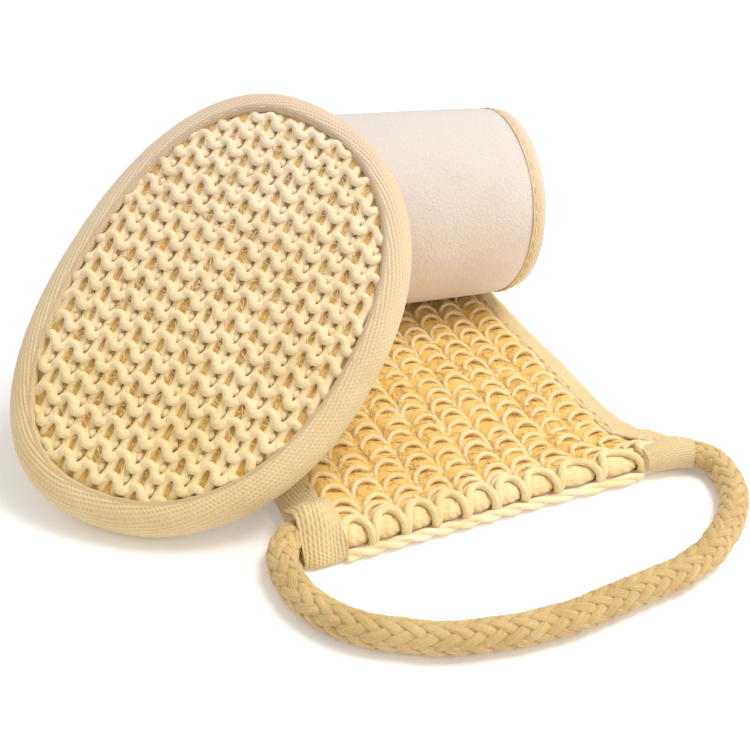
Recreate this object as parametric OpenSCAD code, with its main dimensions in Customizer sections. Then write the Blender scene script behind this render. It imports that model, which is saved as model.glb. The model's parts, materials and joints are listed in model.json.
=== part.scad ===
// Loofah back scrubber set: a rolled back strap with rope handles, and an oval hand pad that
// leans on the roll. X runs across the strap, +Y away from its near edge, +Z up. The origin
// lies on the underside of the strap, at the middle of its flat stretch.

/* [Strap] */
// Width of the strap across its bound edges
strap_w = 112; // [90:1:140]
// Length of strap that lies flat, from its near edge to below the middle of the roll
flat_len = 116; // [96:1:150]
// Turns of strap in the roll
roll_turns = 2.5; // [1.5:0.25:3.5]
// Free radius inside the roll at the strap's far end
core_r = 12; // [11:0.5:16]

/* [Layers of the strap] */
// Thickness of the terry cloth
terry_t = 1.8; // [1:0.1:3]
// Thickness of the strap's foam
foam_t = 2.4; // [1:0.1:5]
// Thickness of the fibre lining under the knit
lining_t = 0.6; // [0.3:0.1:1.2]
// Thickness of the sisal knit
knit_t = 2.2; // [1.4:0.1:3.5]
// Air between one turn of the roll and the next
turn_gap = 0.2; // [0.1:0.1:1]

/* [Edge tape] */
// Thickness of the twill edge tape
tape_t = 0.8; // [0.5:0.1:1.2]
// Width of tape on the knit face of the strap
strap_tape_w = 10; // [7:0.5:14]
// Width of tape on the terry face of the strap
back_tape_w = 6; // [4:0.5:7]
// Width of tape on each face of the pad
pad_tape_w = 8; // [7:0.5:12]

/* [Rope handles] */
// Diameter of the braided rope
rope_d = 8; // [7:0.5:12]
// How far behind the near edge the rope's ends are sewn in
rope_inset = 8; // [7.5:0.5:12]
// Thickness of the cloth round the rope's ends
corner_wall = 0.7; // [0.5:0.1:1.5]
// Air round the rope in its corner pocket
rope_clearance = 0.3; // [0.2:0.05:0.6]
// How far the right corner pocket reaches past the strap
pocket_reach = 4; // [1:0.5:5]

/* [Oval pad] */
// Half of the pad's shorter width
pad_half_w = 46; // [38:0.5:55]
// Half of the pad's longer width
pad_half_l = 65; // [54:0.5:78]
// Thickness of the pad at its edge
pad_t = 13; // [10:0.5:18]
// Squareness of the oval, where 2 is a true ellipse
pad_square = 2.25; // [2:0.05:3]
// Share by which the pad's right side is shorter than its middle
pad_taper = 0.09; // [0:0.01:0.2]
// Turns of the leaning pad about X, Y and Z
pad_tilt = [38, 10, -44.5]; // [-60:0.5:60]
// How far the pad's middle lies outside the strap's left edge
pad_offset = 5.5; // [0:0.5:12]
// Air between the pad and what it rests on
rest_gap = 0.3; // [0.2:0.1:1]
// Width of the hand strap across the pad's back
hand_w = 34; // [20:1:45]
// Thickness of the hand strap
hand_t = 1.5; // [1:0.1:2.5]

/* [Yarn and thread] */
// Distance between the end loops of the knit
loop_pitch = 9; // [7:0.5:12]
// Diameter of the sisal yarn
yarn_d = 2; // [1.2:0.1:2.2]
// Diameter of the chain cord along the near edge
chain_d = 2.6; // [1.6:0.1:3.2]
// Length of one stitch
stitch_l = 2.6; // [2:0.1:4]
// Width and height of one stitch
stitch_d = 0.4; // [0.3:0.05:0.6]
// Distance between stitches
stitch_pitch = 4; // [3.2:0.1:6]

/* [Hidden] */
$fn = 48;
EPS = 0.1;
strap_t = terry_t + foam_t + lining_t + knit_t;
pitch = strap_t + turn_gap;
roll_r = core_r + strap_t + pitch * roll_turns;
near_y = -flat_len / 2;
roll_y = flat_len / 2;
turn_step = 12;
end_turn = 360 * roll_turns;
hem_turn = 24;

rope_r = rope_d / 2;
bore_r = rope_r + rope_clearance;
pocket_r = bore_r + corner_wall;
hinge_y = near_y + rope_inset;
hinge_z = pocket_r;
pocket_w = strap_tape_w;
pocket_d = 2 * rope_inset;
rope_sides = 12;

pad_r = pad_t / 2;
pad_n = 72;
pad_back_gap = 0.2;

// Middle line of the near rope, from the left pocket round to the right one: how far out from
// the hinge line each point lies, across and towards the viewer, and how far it has come down
// from the hinge line to the table (0) or not yet (1).
near_rope_pts = [
    [-48, 0, 1], [-51, 0, 1], [-56, 1.5, 1], [-60, 5, 0.6], [-62, 10, 0.2], [-62, 16, 0],
    [-61, 22, 0], [-58, 28, 0], [-54, 33, 0], [-49, 37, 0], [-43, 40, 0], [-37, 43, 0],
    [-30, 45, 0], [-23, 46, 0], [-16, 47, 0], [-9, 47, 0], [-2, 47, 0], [5, 46, 0],
    [12, 45, 0], [19, 44, 0], [26, 43, 0], [33, 42, 0], [39, 40, 0], [45, 38, 0],
    [50, 35, 0], [55, 32, 0], [60, 28, 0], [65, 23, 0], [69, 17, 0], [71, 11, 0],
    [71, 6, 0.5], [67, 2, 1], [61, 0, 1], [55, 0, 1], [48, 0, 1]];

// Far rope: turns that it takes into the core, and where it starts.
far_turns = 500;
far_x = strap_w / 2 - rope_r - 1;
far_gap_turn = 8;
far_start_r = core_r + pitch * (1 - (hem_turn + far_gap_turn) / 360) - rope_r - corner_wall - 0.6;
far_coil_r = core_r - rope_r - 0.5;
far_rings = 56;
sleeve_rings = 7;

// ---- The strap: bands that lie flat and then wind into the roll ----

// Point of the strap at height h above its underside, a turns about the roll.
function wound(a, h, r = roll_r) =
    let (rr = r - pitch * a / 360 - h) [roll_y + rr * sin(a), roll_r - rr * cos(a)];

// Outline of a layer from height h0 to h1, from y0 on the flat to the turn a1.
function band_outline(h0, h1, y0, a1) = concat(
    [[y0, h0]], [for (a = [0:turn_step:a1]) wound(a, h0)],
    [for (a = [a1:-turn_step:0]) wound(a, h1)], [[y0, h1]]);

module band(h0, h1, x0, x1, y0 = near_y, a1 = end_turn)
    translate([x0, 0, 0]) rotate([90, 0, 90]) linear_extrude(x1 - x0)
        polygon(band_outline(h0, h1, y0, a1));

// A layer between tapes of width w that goes on under them, from height e0 to e1.
module layer(h0, h1, w, e0, e1, y0 = near_y) {
    inner = strap_w / 2 - w;
    under = strap_w / 2 - tape_t;
    difference() {
        union() {
            band(h0, h1, -inner, inner, y0);
            if (e1 > e0) for (s = [-1, 1])
                band(e0, e1, s > 0 ? inner : -under, s > 0 ? under : -inner, y0);
        }
        pocket_spaces();
    }
}

// Corner spaces of the near edge that the pockets fill.
module pocket_spaces()
    for (s = [-1, 1]) translate([s * strap_w / 2, near_y + pocket_d / 2, strap_t / 2])
        cube([2 * pocket_w, pocket_d, strap_t + 2], center = true);

module strap_knit() color([0.93, 0.80, 0.52])
    layer(strap_t - knit_t, strap_t, strap_tape_w, strap_t - knit_t, strap_t - tape_t,
        near_y + end_loop_d());

module strap_lining() color([0.83, 0.66, 0.33])
    layer(terry_t + foam_t, strap_t - knit_t, strap_tape_w, terry_t + foam_t, strap_t - knit_t);

module strap_foam() color([0.95, 0.91, 0.80])
    layer(terry_t, terry_t + foam_t, strap_tape_w, terry_t, terry_t + foam_t);

module strap_terry() color([0.91, 0.86, 0.82])
    layer(0, terry_t, back_tape_w, tape_t, terry_t);

// Tape folded round one long edge of the strap.
module edge_tape(s) color([0.88, 0.76, 0.52]) mirror([s > 0 ? 0 : 1, 0, 0]) difference() {
    outer = strap_w / 2;
    back = outer - back_tape_w;
    past = end_turn + turn_step;
    band(0, strap_t, outer - strap_tape_w, outer);
    band(tape_t, strap_t - tape_t, outer - strap_tape_w - 1, outer - tape_t, near_y - 1, past);
    band(-turn_gap / 2, strap_t / 2, outer - strap_tape_w - 1, back, near_y - 1, past);
    pocket_spaces();
}

// Stitches through the tape, on the flat stretch in front of the roll.
module edge_stitches(s) color([0.80, 0.68, 0.45]) {
    from = near_y + pocket_d + stitch_pitch;
    to = roll_y - (roll_r - pitch) / 2;
    for (y = [from:stitch_pitch:to])
        translate([s * (strap_w / 2 - strap_tape_w + 1.5), y, strap_t + stitch_d / 2])
            cube([stitch_d, stitch_l, stitch_d], center = true);
}

// ---- Near edge: end loops, chain cord and the pockets for the rope's ends ----

function end_loop_d() = 6;
function edge_free_w() = strap_w - 2 * pocket_w;

module end_loops() color([0.95, 0.84, 0.60]) {
    count = floor((edge_free_w() - end_loop_d()) / loop_pitch);
    ring_r = end_loop_d() / 2 - yarn_d / 2 - EPS;
    for (i = [0:count])
        translate([(i - count / 2) * loop_pitch, near_y + end_loop_d() / 2,
            strap_t - knit_t + yarn_d / 2 + EPS])
            rotate_extrude() translate([ring_r, 0]) circle(d = yarn_d);
}

module edge_chain() color([0.96, 0.86, 0.66])
    translate([-edge_free_w() / 2, near_y - chain_d / 2 - EPS, strap_t / 2])
        rotate([0, 90, 0]) cylinder(d = chain_d, h = edge_free_w());

// Folded tape that holds one end of the rope, with a bore on the hinge line. The right pocket
// reaches past the strap. The left one stops short of its edge, where the rope bends out.
module corner_pocket(s) {
    inner = strap_w / 2 - pocket_w;
    block = s > 0 ? pocket_w : pocket_w / 2;
    reach = s > 0 ? pocket_w + pocket_reach : pocket_w / 2;
    color([0.88, 0.76, 0.52]) mirror([s > 0 ? 0 : 1, 0, 0]) difference() {
        union() {
            translate([inner, near_y, 0]) cube([block, pocket_d, strap_t]);
            translate([inner, hinge_y, hinge_z]) rotate([0, 90, 0])
                cylinder(r = pocket_r, h = reach);
        }
        translate([inner + 1, hinge_y, hinge_z]) rotate([0, 90, 0])
            cylinder(r = bore_r, h = reach);
    }
}

// Bars of thread over the front face of a pocket.
module corner_tack(s) color([0.85, 0.66, 0.52]) {
    count = 4;
    step = (pocket_w / 2 - 1) / count;
    for (i = [0:count])
        translate([s * (strap_w / 2 - pocket_w + 0.5 + i * step), near_y - stitch_d / 2,
            strap_t / 2])
            cube([stitch_d, stitch_d, strap_t / 2], center = true);
}

// ---- Ropes ----

function unit(v) = v / norm(v);
function tangents(p) = [for (i = [0:len(p) - 1])
    unit(p[min(i + 1, len(p) - 1)] - p[max(i - 1, 0)])];

// Ring of points round p, square to t, turned so that one point is at its lowest.
function ring(p, t, r, n) =
    let (side = unit(cross(t, [0, 0, 1])), up = cross(side, t))
    [for (k = [0:n - 1]) p + r * (side * sin(360 * k / n) - up * cos(360 * k / n))];

// Ring of points round p on a rope that winds about the roll's middle.
function wound_ring(p, t, r, n) =
    let (out = unit([0, p[1] - roll_y, p[2] - roll_r]), side = unit(cross(t, out)),
        up = cross(side, t))
    [for (k = [0:n - 1]) p + r * (side * sin(360 * k / n) - up * cos(360 * k / n))];

// Closed tube through rings of n points each.
module tube(rings, n) {
    m = len(rings);
    pts = [for (g = rings) for (q = g) q];
    polyhedron(pts, concat(
        [[for (k = [n - 1:-1:0]) k]],
        [[for (k = [0:n - 1]) (m - 1) * n + k]],
        [for (i = [0:m - 2]) for (k = [0:n - 1])
            let (a = i * n + k, b = i * n + (k + 1) % n) each [[a, b, a + n], [b, b + n, a + n]]]),
        convexity = 10);
}

// Rope points in the row's frame. The middle line lies rope_r above the table where it rests.
function near_path() =
    let (w = (strap_w - 112) / 2)
    [for (q = near_rope_pts)
        [q[0] + w * sign(q[0]) * min(1, abs(q[0]) / 48), hinge_y - q[1],
            rope_r + (hinge_z - rope_r) * q[2]]];

module near_rope() color([0.86, 0.73, 0.50]) {
    p = near_path();
    t = tangents(p);
    tube([for (i = [0:len(p) - 1]) ring(p[i], t[i], rope_r, rope_sides)], rope_sides);
}

function far_angle(s) = end_turn + hem_turn + far_gap_turn + far_turns * (1 - s * s);
function far_radius(s) = let (d = far_turns * (1 - s * s))
    far_coil_r + (far_start_r - far_coil_r) * exp(-pow(d / 150, 2));
function far_point(s) = let (a = far_angle(s), r = far_radius(s))
    [s * far_x, roll_y + r * sin(a), roll_r - r * cos(a)];
// Steps are shorter near the rope's ends, where it turns fastest.
function far_share(i, n) = sin(180 * (i / n - 0.5));

function far_path() = [for (i = [0:far_rings]) far_point(far_share(i, far_rings))];

module far_rope() color([0.86, 0.73, 0.50]) {
    p = far_path();
    t = tangents(p);
    tube([for (i = [0:far_rings]) wound_ring(p[i], t[i], rope_r, rope_sides)], rope_sides);
}

// Cloth sleeve round one end of the far rope.
module far_sleeve(s) color([0.88, 0.76, 0.52]) {
    p = far_path();
    t = tangents(p);
    first = s < 0 ? 1 : far_rings - sleeve_rings;
    ids = [first:first + sleeve_rings - 1];
    bore = rope_r + 0.1;
    sleeve([for (i = ids) wound_ring(p[i], t[i], bore + corner_wall, rope_sides)],
        [for (i = ids) wound_ring(p[i], t[i], bore, rope_sides)], rope_sides);
}

// Open tube between outer and inner rings of n points each.
module sleeve(outer, inner, n) {
    m = len(outer);
    pts = [for (g = concat(outer, inner)) for (q = g) q];
    polyhedron(pts, concat(
        [for (i = [0:m - 2]) for (k = [0:n - 1])
            let (a = i * n + k, b = i * n + (k + 1) % n, c = a + m * n, d = b + m * n)
            each [[a, b, a + n], [b, b + n, a + n], [c, c + n, d], [d, c + n, d + n]]],
        [for (k = [0:n - 1]) let (b = (k + 1) % n, c = m * n)
            each [[k, k + c, b], [b, k + c, b + c]]],
        [for (k = [0:n - 1]) let (a = (m - 1) * n + k, b = (m - 1) * n + (k + 1) % n, c = m * n)
            each [[a, b, a + c], [b, b + c, a + c]]]),
        convexity = 10);
}

module far_hem() color([0.88, 0.76, 0.52])
    translate([-strap_w / 2, 0, 0]) rotate([90, 0, 90]) linear_extrude(strap_w)
        polygon(concat([for (a = [0:turn_step:hem_turn]) wound(end_turn + a, 0)],
            [for (a = [hem_turn:-turn_step:0]) wound(end_turn + a, strap_t)]));

// ---- The oval pad, in its own frame: X across, Y along, Z out of the knit ----

function spow(v, e) = sign(v) * pow(abs(v), e);
// Point of the oval at angle a, drawn in by d.
function oval(a, d = 0) =
    let (w = pad_half_w - d, l = pad_half_l - d, x = w * spow(cos(a), 2 / pad_square))
    [x, l * (1 - pad_taper * x / w) * spow(sin(a), 2 / pad_square)];
function oval_outline(d, n = pad_n) = [for (i = [0:n - 1]) oval(360 * (i + 0.5) / n, d)];
// Direction into the oval from its edge at angle a.
function inward(a) = let (v = unit(oval(a + 0.5) - oval(a - 0.5))) [-v[1], v[0]];

module pad_slab(z0, z1, d) translate([0, 0, z0]) linear_extrude(z1 - z0)
    polygon(oval_outline(d));

// Where the pad's middle goes: it clears the table and the roll's left rim by rest_gap.
function turn_x(a, v) = [v[0], v[1] * cos(a) - v[2] * sin(a), v[1] * sin(a) + v[2] * cos(a)];
function turn_y(a, v) = [v[0] * cos(a) + v[2] * sin(a), v[1], v[2] * cos(a) - v[0] * sin(a)];
function turn_z(a, v) = [v[0] * cos(a) - v[1] * sin(a), v[0] * sin(a) + v[1] * cos(a), v[2]];
function tilted(v) = turn_z(pad_tilt[2], turn_y(pad_tilt[1], turn_x(pad_tilt[0], v)));
pad_normal = tilted([0, 0, 1]);
pad_drop = max([for (q = oval_outline(pad_r)) -tilted([q[0], q[1], 0])[2]]) + pad_r;
roll_reach = max([for (a = [0:1:720]) let (q = wound(a, 0))
    -strap_w / 2 * pad_normal[0] + q[0] * pad_normal[1] + q[1] * pad_normal[2]]);
pad_x = -strap_w / 2 - pad_offset;
pad_z = pad_drop + rest_gap;
pad_y = (roll_reach + pad_r + rest_gap - pad_x * pad_normal[0] - pad_z * pad_normal[2])
    / pad_normal[1];

module at_pad() translate([pad_x, pad_y, pad_z]) rotate(pad_tilt) children();

pad_knit_z = pad_r - knit_t;
pad_lining_z = pad_knit_z - lining_t;
pad_terry_z = -pad_r + terry_t;
tape_inner_r = pad_r - tape_t;
// How far in from the edge a layer stays clear of the inside of the tape.
function clear_in(z) = pad_r - sqrt(max(0, tape_inner_r * tape_inner_r - z * z)) + 0.4;
pad_fill_in = max(clear_in(pad_knit_z), clear_in(pad_terry_z));

module pad_knit() color([0.89, 0.79, 0.58]) at_pad()
    pad_slab(pad_knit_z, pad_r, pad_tape_w + 0.5);
module pad_lining() color([0.83, 0.66, 0.33]) at_pad()
    pad_slab(pad_lining_z, pad_knit_z, pad_fill_in);
module pad_foam() color([0.95, 0.91, 0.80]) at_pad()
    pad_slab(pad_terry_z, pad_lining_z, pad_fill_in);
module pad_terry() color([0.91, 0.86, 0.82]) at_pad()
    pad_slab(-pad_r, pad_terry_z, pad_tape_w + 0.5);

// Section of the tape round the pad's edge: distance in from the edge, and height.
function tape_section() = concat(
    [[pad_tape_w, pad_r]],
    [for (b = [90:-15:-90]) [pad_r - pad_r * cos(b), pad_r * sin(b)]],
    [[pad_tape_w, -pad_r], [pad_tape_w, -tape_inner_r]],
    [for (b = [-90:15:90]) [pad_r - tape_inner_r * cos(b), tape_inner_r * sin(b)]],
    [[pad_tape_w, tape_inner_r]]);

module pad_tape() {
    sec = tape_section();
    n = len(sec);
    pts = [for (i = [0:pad_n - 1]) let (a = 360 * (i + 0.5) / pad_n, p = oval(a), v = inward(a))
        for (q = sec) [p[0] + v[0] * q[0], p[1] + v[1] * q[0], q[1]]];
    color([0.87, 0.76, 0.54]) at_pad() polyhedron(pts,
        [for (i = [0:pad_n - 1]) for (k = [0:n - 1])
            let (a = i * n + k, b = i * n + (k + 1) % n, j = ((i + 1) % pad_n) * n)
            each [[a, j + k, b], [b, j + k, j + (k + 1) % n]]],
        convexity = 10);
}

module pad_stitches() color([0.80, 0.68, 0.45]) at_pad() {
    count = floor(3.1 * (pad_half_w + pad_half_l - 2 * pad_tape_w) / stitch_pitch);
    for (i = [0:count - 1]) {
        a = 360 * i / count;
        p = oval(a) + inward(a) * (pad_tape_w - 1);
        v = inward(a);
        translate([p[0], p[1], pad_r + stitch_d / 2]) rotate(atan2(v[1], v[0]))
            cube([stitch_d, stitch_l, stitch_d], center = true);
    }
}

hand_half = pad_half_w - pad_r;
hand_z = -pad_r - pad_back_gap - hand_t;
module hand_strap() color([0.92, 0.88, 0.80]) at_pad()
    translate([-hand_half, -hand_w / 2, hand_z]) cube([2 * hand_half, hand_w, hand_t]);

// Zigzag bars of thread across one end of the hand strap.
module hand_tack(s) color([0.85, 0.75, 0.58]) at_pad() {
    count = floor((hand_w - 4) / 3);
    for (i = [0:count])
        translate([s * (hand_half - 4), (i - count / 2) * 3, hand_z - stitch_d / 2])
            cube([5, stitch_d, stitch_d], center = true);
}

strap_knit();
strap_lining();
strap_foam();
strap_terry();
edge_tape(-1);  // edge_tape_left
edge_tape(1);  // edge_tape_right
edge_stitches(-1);  // edge_stitches_left
edge_stitches(1);  // edge_stitches_right
end_loops();
edge_chain();
corner_pocket(-1);  // corner_pocket_left
corner_pocket(1);  // corner_pocket_right
corner_tack(-1);  // corner_tack_left
corner_tack(1);  // corner_tack_right
near_rope();
far_hem();
far_rope();
far_sleeve(-1);  // far_sleeve_left
far_sleeve(1);  // far_sleeve_right
pad_knit();
pad_lining();
pad_foam();
pad_terry();
pad_tape();
pad_stitches();
hand_strap();
hand_tack(-1);  // hand_tack_left
hand_tack(1);  // hand_tack_right
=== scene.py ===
# %% [markdown]
# # Loofah back scrubber set
# A bathroom set of two pieces: a back strap, rolled up for the shelf with its near end pulled out flat,
# and an oval hand pad that leans on the roll. Both are knitted sisal over a thin sheet of loofah fibre,
# then foam, then terry cloth, and their edges are bound in cotton twill tape. Every length in this lesson
# is in metres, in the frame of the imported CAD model, so each piece is made in the place where it stays.

# %% Load the frame
import json
import math

import bpy
import numpy as np
from mathutils import Euler, Matrix, Vector
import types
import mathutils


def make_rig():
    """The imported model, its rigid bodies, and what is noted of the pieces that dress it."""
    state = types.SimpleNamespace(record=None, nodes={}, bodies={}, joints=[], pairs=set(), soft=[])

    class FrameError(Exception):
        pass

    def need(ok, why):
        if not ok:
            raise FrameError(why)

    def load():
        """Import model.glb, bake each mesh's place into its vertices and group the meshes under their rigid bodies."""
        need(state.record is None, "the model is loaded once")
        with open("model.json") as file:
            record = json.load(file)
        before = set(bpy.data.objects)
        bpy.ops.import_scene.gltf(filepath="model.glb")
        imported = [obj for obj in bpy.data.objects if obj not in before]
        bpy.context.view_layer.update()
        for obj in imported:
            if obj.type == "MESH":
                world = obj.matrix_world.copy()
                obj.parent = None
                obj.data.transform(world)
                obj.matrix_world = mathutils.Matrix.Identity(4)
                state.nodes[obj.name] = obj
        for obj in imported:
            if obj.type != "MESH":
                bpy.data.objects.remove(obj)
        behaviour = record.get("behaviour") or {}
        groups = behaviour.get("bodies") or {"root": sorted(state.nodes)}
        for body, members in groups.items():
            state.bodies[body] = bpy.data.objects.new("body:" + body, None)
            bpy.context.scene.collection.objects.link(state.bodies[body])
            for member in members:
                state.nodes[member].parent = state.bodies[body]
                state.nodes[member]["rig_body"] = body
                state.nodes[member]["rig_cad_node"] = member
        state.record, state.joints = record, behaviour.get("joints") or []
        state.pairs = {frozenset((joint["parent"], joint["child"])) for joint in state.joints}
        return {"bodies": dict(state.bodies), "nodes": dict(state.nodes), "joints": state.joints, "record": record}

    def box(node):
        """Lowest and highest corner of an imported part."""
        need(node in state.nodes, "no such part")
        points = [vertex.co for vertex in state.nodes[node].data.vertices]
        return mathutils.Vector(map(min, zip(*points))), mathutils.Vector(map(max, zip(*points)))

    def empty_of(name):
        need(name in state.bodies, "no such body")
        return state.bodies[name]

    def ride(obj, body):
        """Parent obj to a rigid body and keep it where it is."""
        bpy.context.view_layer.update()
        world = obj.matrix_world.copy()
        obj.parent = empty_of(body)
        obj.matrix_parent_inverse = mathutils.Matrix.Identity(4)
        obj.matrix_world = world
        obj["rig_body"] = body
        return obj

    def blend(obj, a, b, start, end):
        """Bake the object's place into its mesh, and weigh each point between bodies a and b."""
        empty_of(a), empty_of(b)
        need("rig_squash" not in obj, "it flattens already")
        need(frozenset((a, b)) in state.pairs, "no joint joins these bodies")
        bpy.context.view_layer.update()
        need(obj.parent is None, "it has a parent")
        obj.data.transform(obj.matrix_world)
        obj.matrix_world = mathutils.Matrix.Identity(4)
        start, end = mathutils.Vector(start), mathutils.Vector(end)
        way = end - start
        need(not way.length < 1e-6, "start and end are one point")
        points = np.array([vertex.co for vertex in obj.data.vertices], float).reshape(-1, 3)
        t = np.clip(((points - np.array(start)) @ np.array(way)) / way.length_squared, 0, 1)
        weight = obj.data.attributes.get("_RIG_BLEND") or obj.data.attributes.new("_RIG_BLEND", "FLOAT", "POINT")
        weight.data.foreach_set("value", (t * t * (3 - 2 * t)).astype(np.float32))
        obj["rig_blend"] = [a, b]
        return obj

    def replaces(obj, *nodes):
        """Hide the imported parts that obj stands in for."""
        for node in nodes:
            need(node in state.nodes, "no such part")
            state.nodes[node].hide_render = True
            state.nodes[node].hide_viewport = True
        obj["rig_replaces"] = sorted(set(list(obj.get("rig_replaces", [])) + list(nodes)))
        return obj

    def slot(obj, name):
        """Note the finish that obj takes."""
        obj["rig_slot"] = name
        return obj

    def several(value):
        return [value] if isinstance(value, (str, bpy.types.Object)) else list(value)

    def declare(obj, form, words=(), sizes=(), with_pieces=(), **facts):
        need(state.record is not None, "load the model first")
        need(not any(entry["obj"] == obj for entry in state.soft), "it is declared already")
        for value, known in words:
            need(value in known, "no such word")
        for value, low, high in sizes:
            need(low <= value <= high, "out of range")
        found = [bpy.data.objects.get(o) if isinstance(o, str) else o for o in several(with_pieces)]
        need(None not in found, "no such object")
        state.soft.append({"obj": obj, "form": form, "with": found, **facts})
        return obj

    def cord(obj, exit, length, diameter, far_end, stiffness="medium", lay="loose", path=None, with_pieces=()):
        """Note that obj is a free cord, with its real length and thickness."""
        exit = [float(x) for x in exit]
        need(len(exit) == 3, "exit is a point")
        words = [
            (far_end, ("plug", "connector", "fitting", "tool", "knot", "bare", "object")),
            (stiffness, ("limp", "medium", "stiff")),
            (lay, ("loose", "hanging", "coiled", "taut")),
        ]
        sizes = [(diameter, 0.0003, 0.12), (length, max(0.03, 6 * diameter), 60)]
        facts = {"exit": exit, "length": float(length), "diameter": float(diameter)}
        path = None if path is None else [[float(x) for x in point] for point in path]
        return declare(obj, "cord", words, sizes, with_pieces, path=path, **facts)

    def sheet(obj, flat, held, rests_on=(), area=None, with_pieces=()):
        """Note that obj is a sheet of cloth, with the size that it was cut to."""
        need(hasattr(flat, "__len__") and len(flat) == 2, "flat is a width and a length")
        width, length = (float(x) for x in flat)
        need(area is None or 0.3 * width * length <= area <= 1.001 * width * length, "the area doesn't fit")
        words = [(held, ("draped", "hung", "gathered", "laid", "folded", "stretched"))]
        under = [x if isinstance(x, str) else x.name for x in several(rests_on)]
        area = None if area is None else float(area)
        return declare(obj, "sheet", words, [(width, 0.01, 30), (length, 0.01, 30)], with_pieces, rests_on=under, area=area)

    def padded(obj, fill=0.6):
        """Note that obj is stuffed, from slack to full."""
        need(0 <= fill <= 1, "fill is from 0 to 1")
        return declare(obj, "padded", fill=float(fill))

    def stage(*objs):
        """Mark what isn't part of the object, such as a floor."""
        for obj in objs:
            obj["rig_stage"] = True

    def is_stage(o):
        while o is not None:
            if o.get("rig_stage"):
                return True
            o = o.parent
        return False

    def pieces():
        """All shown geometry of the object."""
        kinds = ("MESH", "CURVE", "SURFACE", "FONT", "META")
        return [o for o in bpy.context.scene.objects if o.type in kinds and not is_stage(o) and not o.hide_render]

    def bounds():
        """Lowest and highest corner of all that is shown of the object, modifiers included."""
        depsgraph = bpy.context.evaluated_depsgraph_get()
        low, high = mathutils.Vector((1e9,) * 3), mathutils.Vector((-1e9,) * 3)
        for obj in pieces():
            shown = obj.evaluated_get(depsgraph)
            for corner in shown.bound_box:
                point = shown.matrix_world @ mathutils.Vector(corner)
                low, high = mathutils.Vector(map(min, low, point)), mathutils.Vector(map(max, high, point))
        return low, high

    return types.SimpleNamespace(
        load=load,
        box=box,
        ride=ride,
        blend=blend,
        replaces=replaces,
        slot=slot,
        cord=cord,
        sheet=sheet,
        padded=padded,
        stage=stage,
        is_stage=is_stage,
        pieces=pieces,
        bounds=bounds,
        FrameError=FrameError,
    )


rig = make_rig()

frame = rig.load()
cad_box = [list(corner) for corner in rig.bounds()]
print("bodies:", ", ".join(frame["bodies"]))

# %% [markdown]
# ## Camera, floor and light
# The camera comes first, because a cord has to lie inside its view. It looks down on the set from the
# left, a little rolled, as a hand-held one is. The light is a bright overcast: a white world, one large
# soft lamp high on the right and a warm, weak one low in front that fills the shadows.

# %% Camera
MM = 0.001
LENS = 49.46
CAMERA_AZIMUTH = math.radians(-25.51)
CAMERA_HEIGHT = math.radians(32.48)
CAMERA_ROLL = math.radians(5.92)
CAMERA_AT = Vector((-125.9, -234.5, 178.5)) * MM


def aim_camera():
    back = Vector((math.sin(CAMERA_AZIMUTH) * math.cos(CAMERA_HEIGHT),
                   -math.cos(CAMERA_AZIMUTH) * math.cos(CAMERA_HEIGHT), math.sin(CAMERA_HEIGHT)))
    right = Vector((0, 0, 1)).cross(back).normalized()
    turned = Matrix((right, back.cross(right), back)).transposed() @ Matrix.Rotation(CAMERA_ROLL, 3, "Z")
    bpy.ops.object.select_all(action="DESELECT")
    bpy.ops.object.camera_add(location=CAMERA_AT)
    camera = bpy.context.object
    camera.matrix_world = Matrix.Translation(CAMERA_AT) @ turned.to_4x4()
    camera.data.lens = LENS
    camera.data.clip_start = 0.01
    bpy.context.scene.camera = camera


aim_camera()
bpy.context.scene.view_settings.view_transform = "Standard"
print("camera:", [round(value, 3) for value in bpy.context.scene.camera.location])

# %% Floor and lights
FLOOR_SIZE = 6.0
FLOOR_DROP = 0.2 * MM


def plain_material(name, colour, roughness):
    material = bpy.data.materials.new(name)
    material.use_nodes = True
    shader = material.node_tree.nodes["Principled BSDF"]
    shader.inputs["Base Color"].default_value = (*colour, 1)
    shader.inputs["Roughness"].default_value = roughness
    return material


def add_floor():
    bpy.ops.object.select_all(action="DESELECT")
    bpy.ops.mesh.primitive_plane_add(size=FLOOR_SIZE, location=(0, 0, -FLOOR_DROP))
    floor = bpy.context.object
    floor.name = "floor"
    floor.data.materials.append(plain_material("floor_white", (0.95, 0.95, 0.95), 0.9))
    glow = floor.data.materials[0].node_tree.nodes["Principled BSDF"]
    glow.inputs["Emission Color"].default_value = (1, 1, 1, 1)
    glow.inputs["Emission Strength"].default_value = 0.12
    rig.stage(floor)


def add_lamp(name, at, towards, size, power, colour):
    bpy.ops.object.select_all(action="DESELECT")
    bpy.ops.object.light_add(type="AREA", location=at)
    lamp = bpy.context.object
    lamp.name = name
    lamp.data.size = size
    lamp.data.energy = power
    lamp.data.color = colour
    lamp.rotation_euler = (Vector(towards) - Vector(at)).to_track_quat("-Z", "Y").to_euler()


def light_the_world(strength):
    world = bpy.data.worlds.new("overcast")
    world.use_nodes = True
    world.node_tree.nodes["Background"].inputs["Color"].default_value = (1, 0.99, 0.97, 1)
    world.node_tree.nodes["Background"].inputs["Strength"].default_value = strength
    bpy.context.scene.world = world


add_floor()
add_lamp("window", at=(0.30, -0.06, 0.78), towards=(0, 0, 0), size=0.4, power=4.7, colour=(1, 0.98, 0.95))
add_lamp("fill", at=(0.5, -0.5, 0.3), towards=(0, 0, 0.02), size=0.5, power=1.0, colour=(1, 0.93, 0.82))
light_the_world(0.70)
print("stage ready")

# %% [markdown]
# ## Two helpers: a laid grid and a swept strand
# Everything here is cloth or yarn, so two shapes make nearly all of it. A cloth is a grid primitive whose
# corners are laid on a surface that a formula gives. A strand is a grid rolled into a tube along a line.
# Both keep the grid's UV map, scaled to metres, so that a weave or a twist follows the surface.


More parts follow.
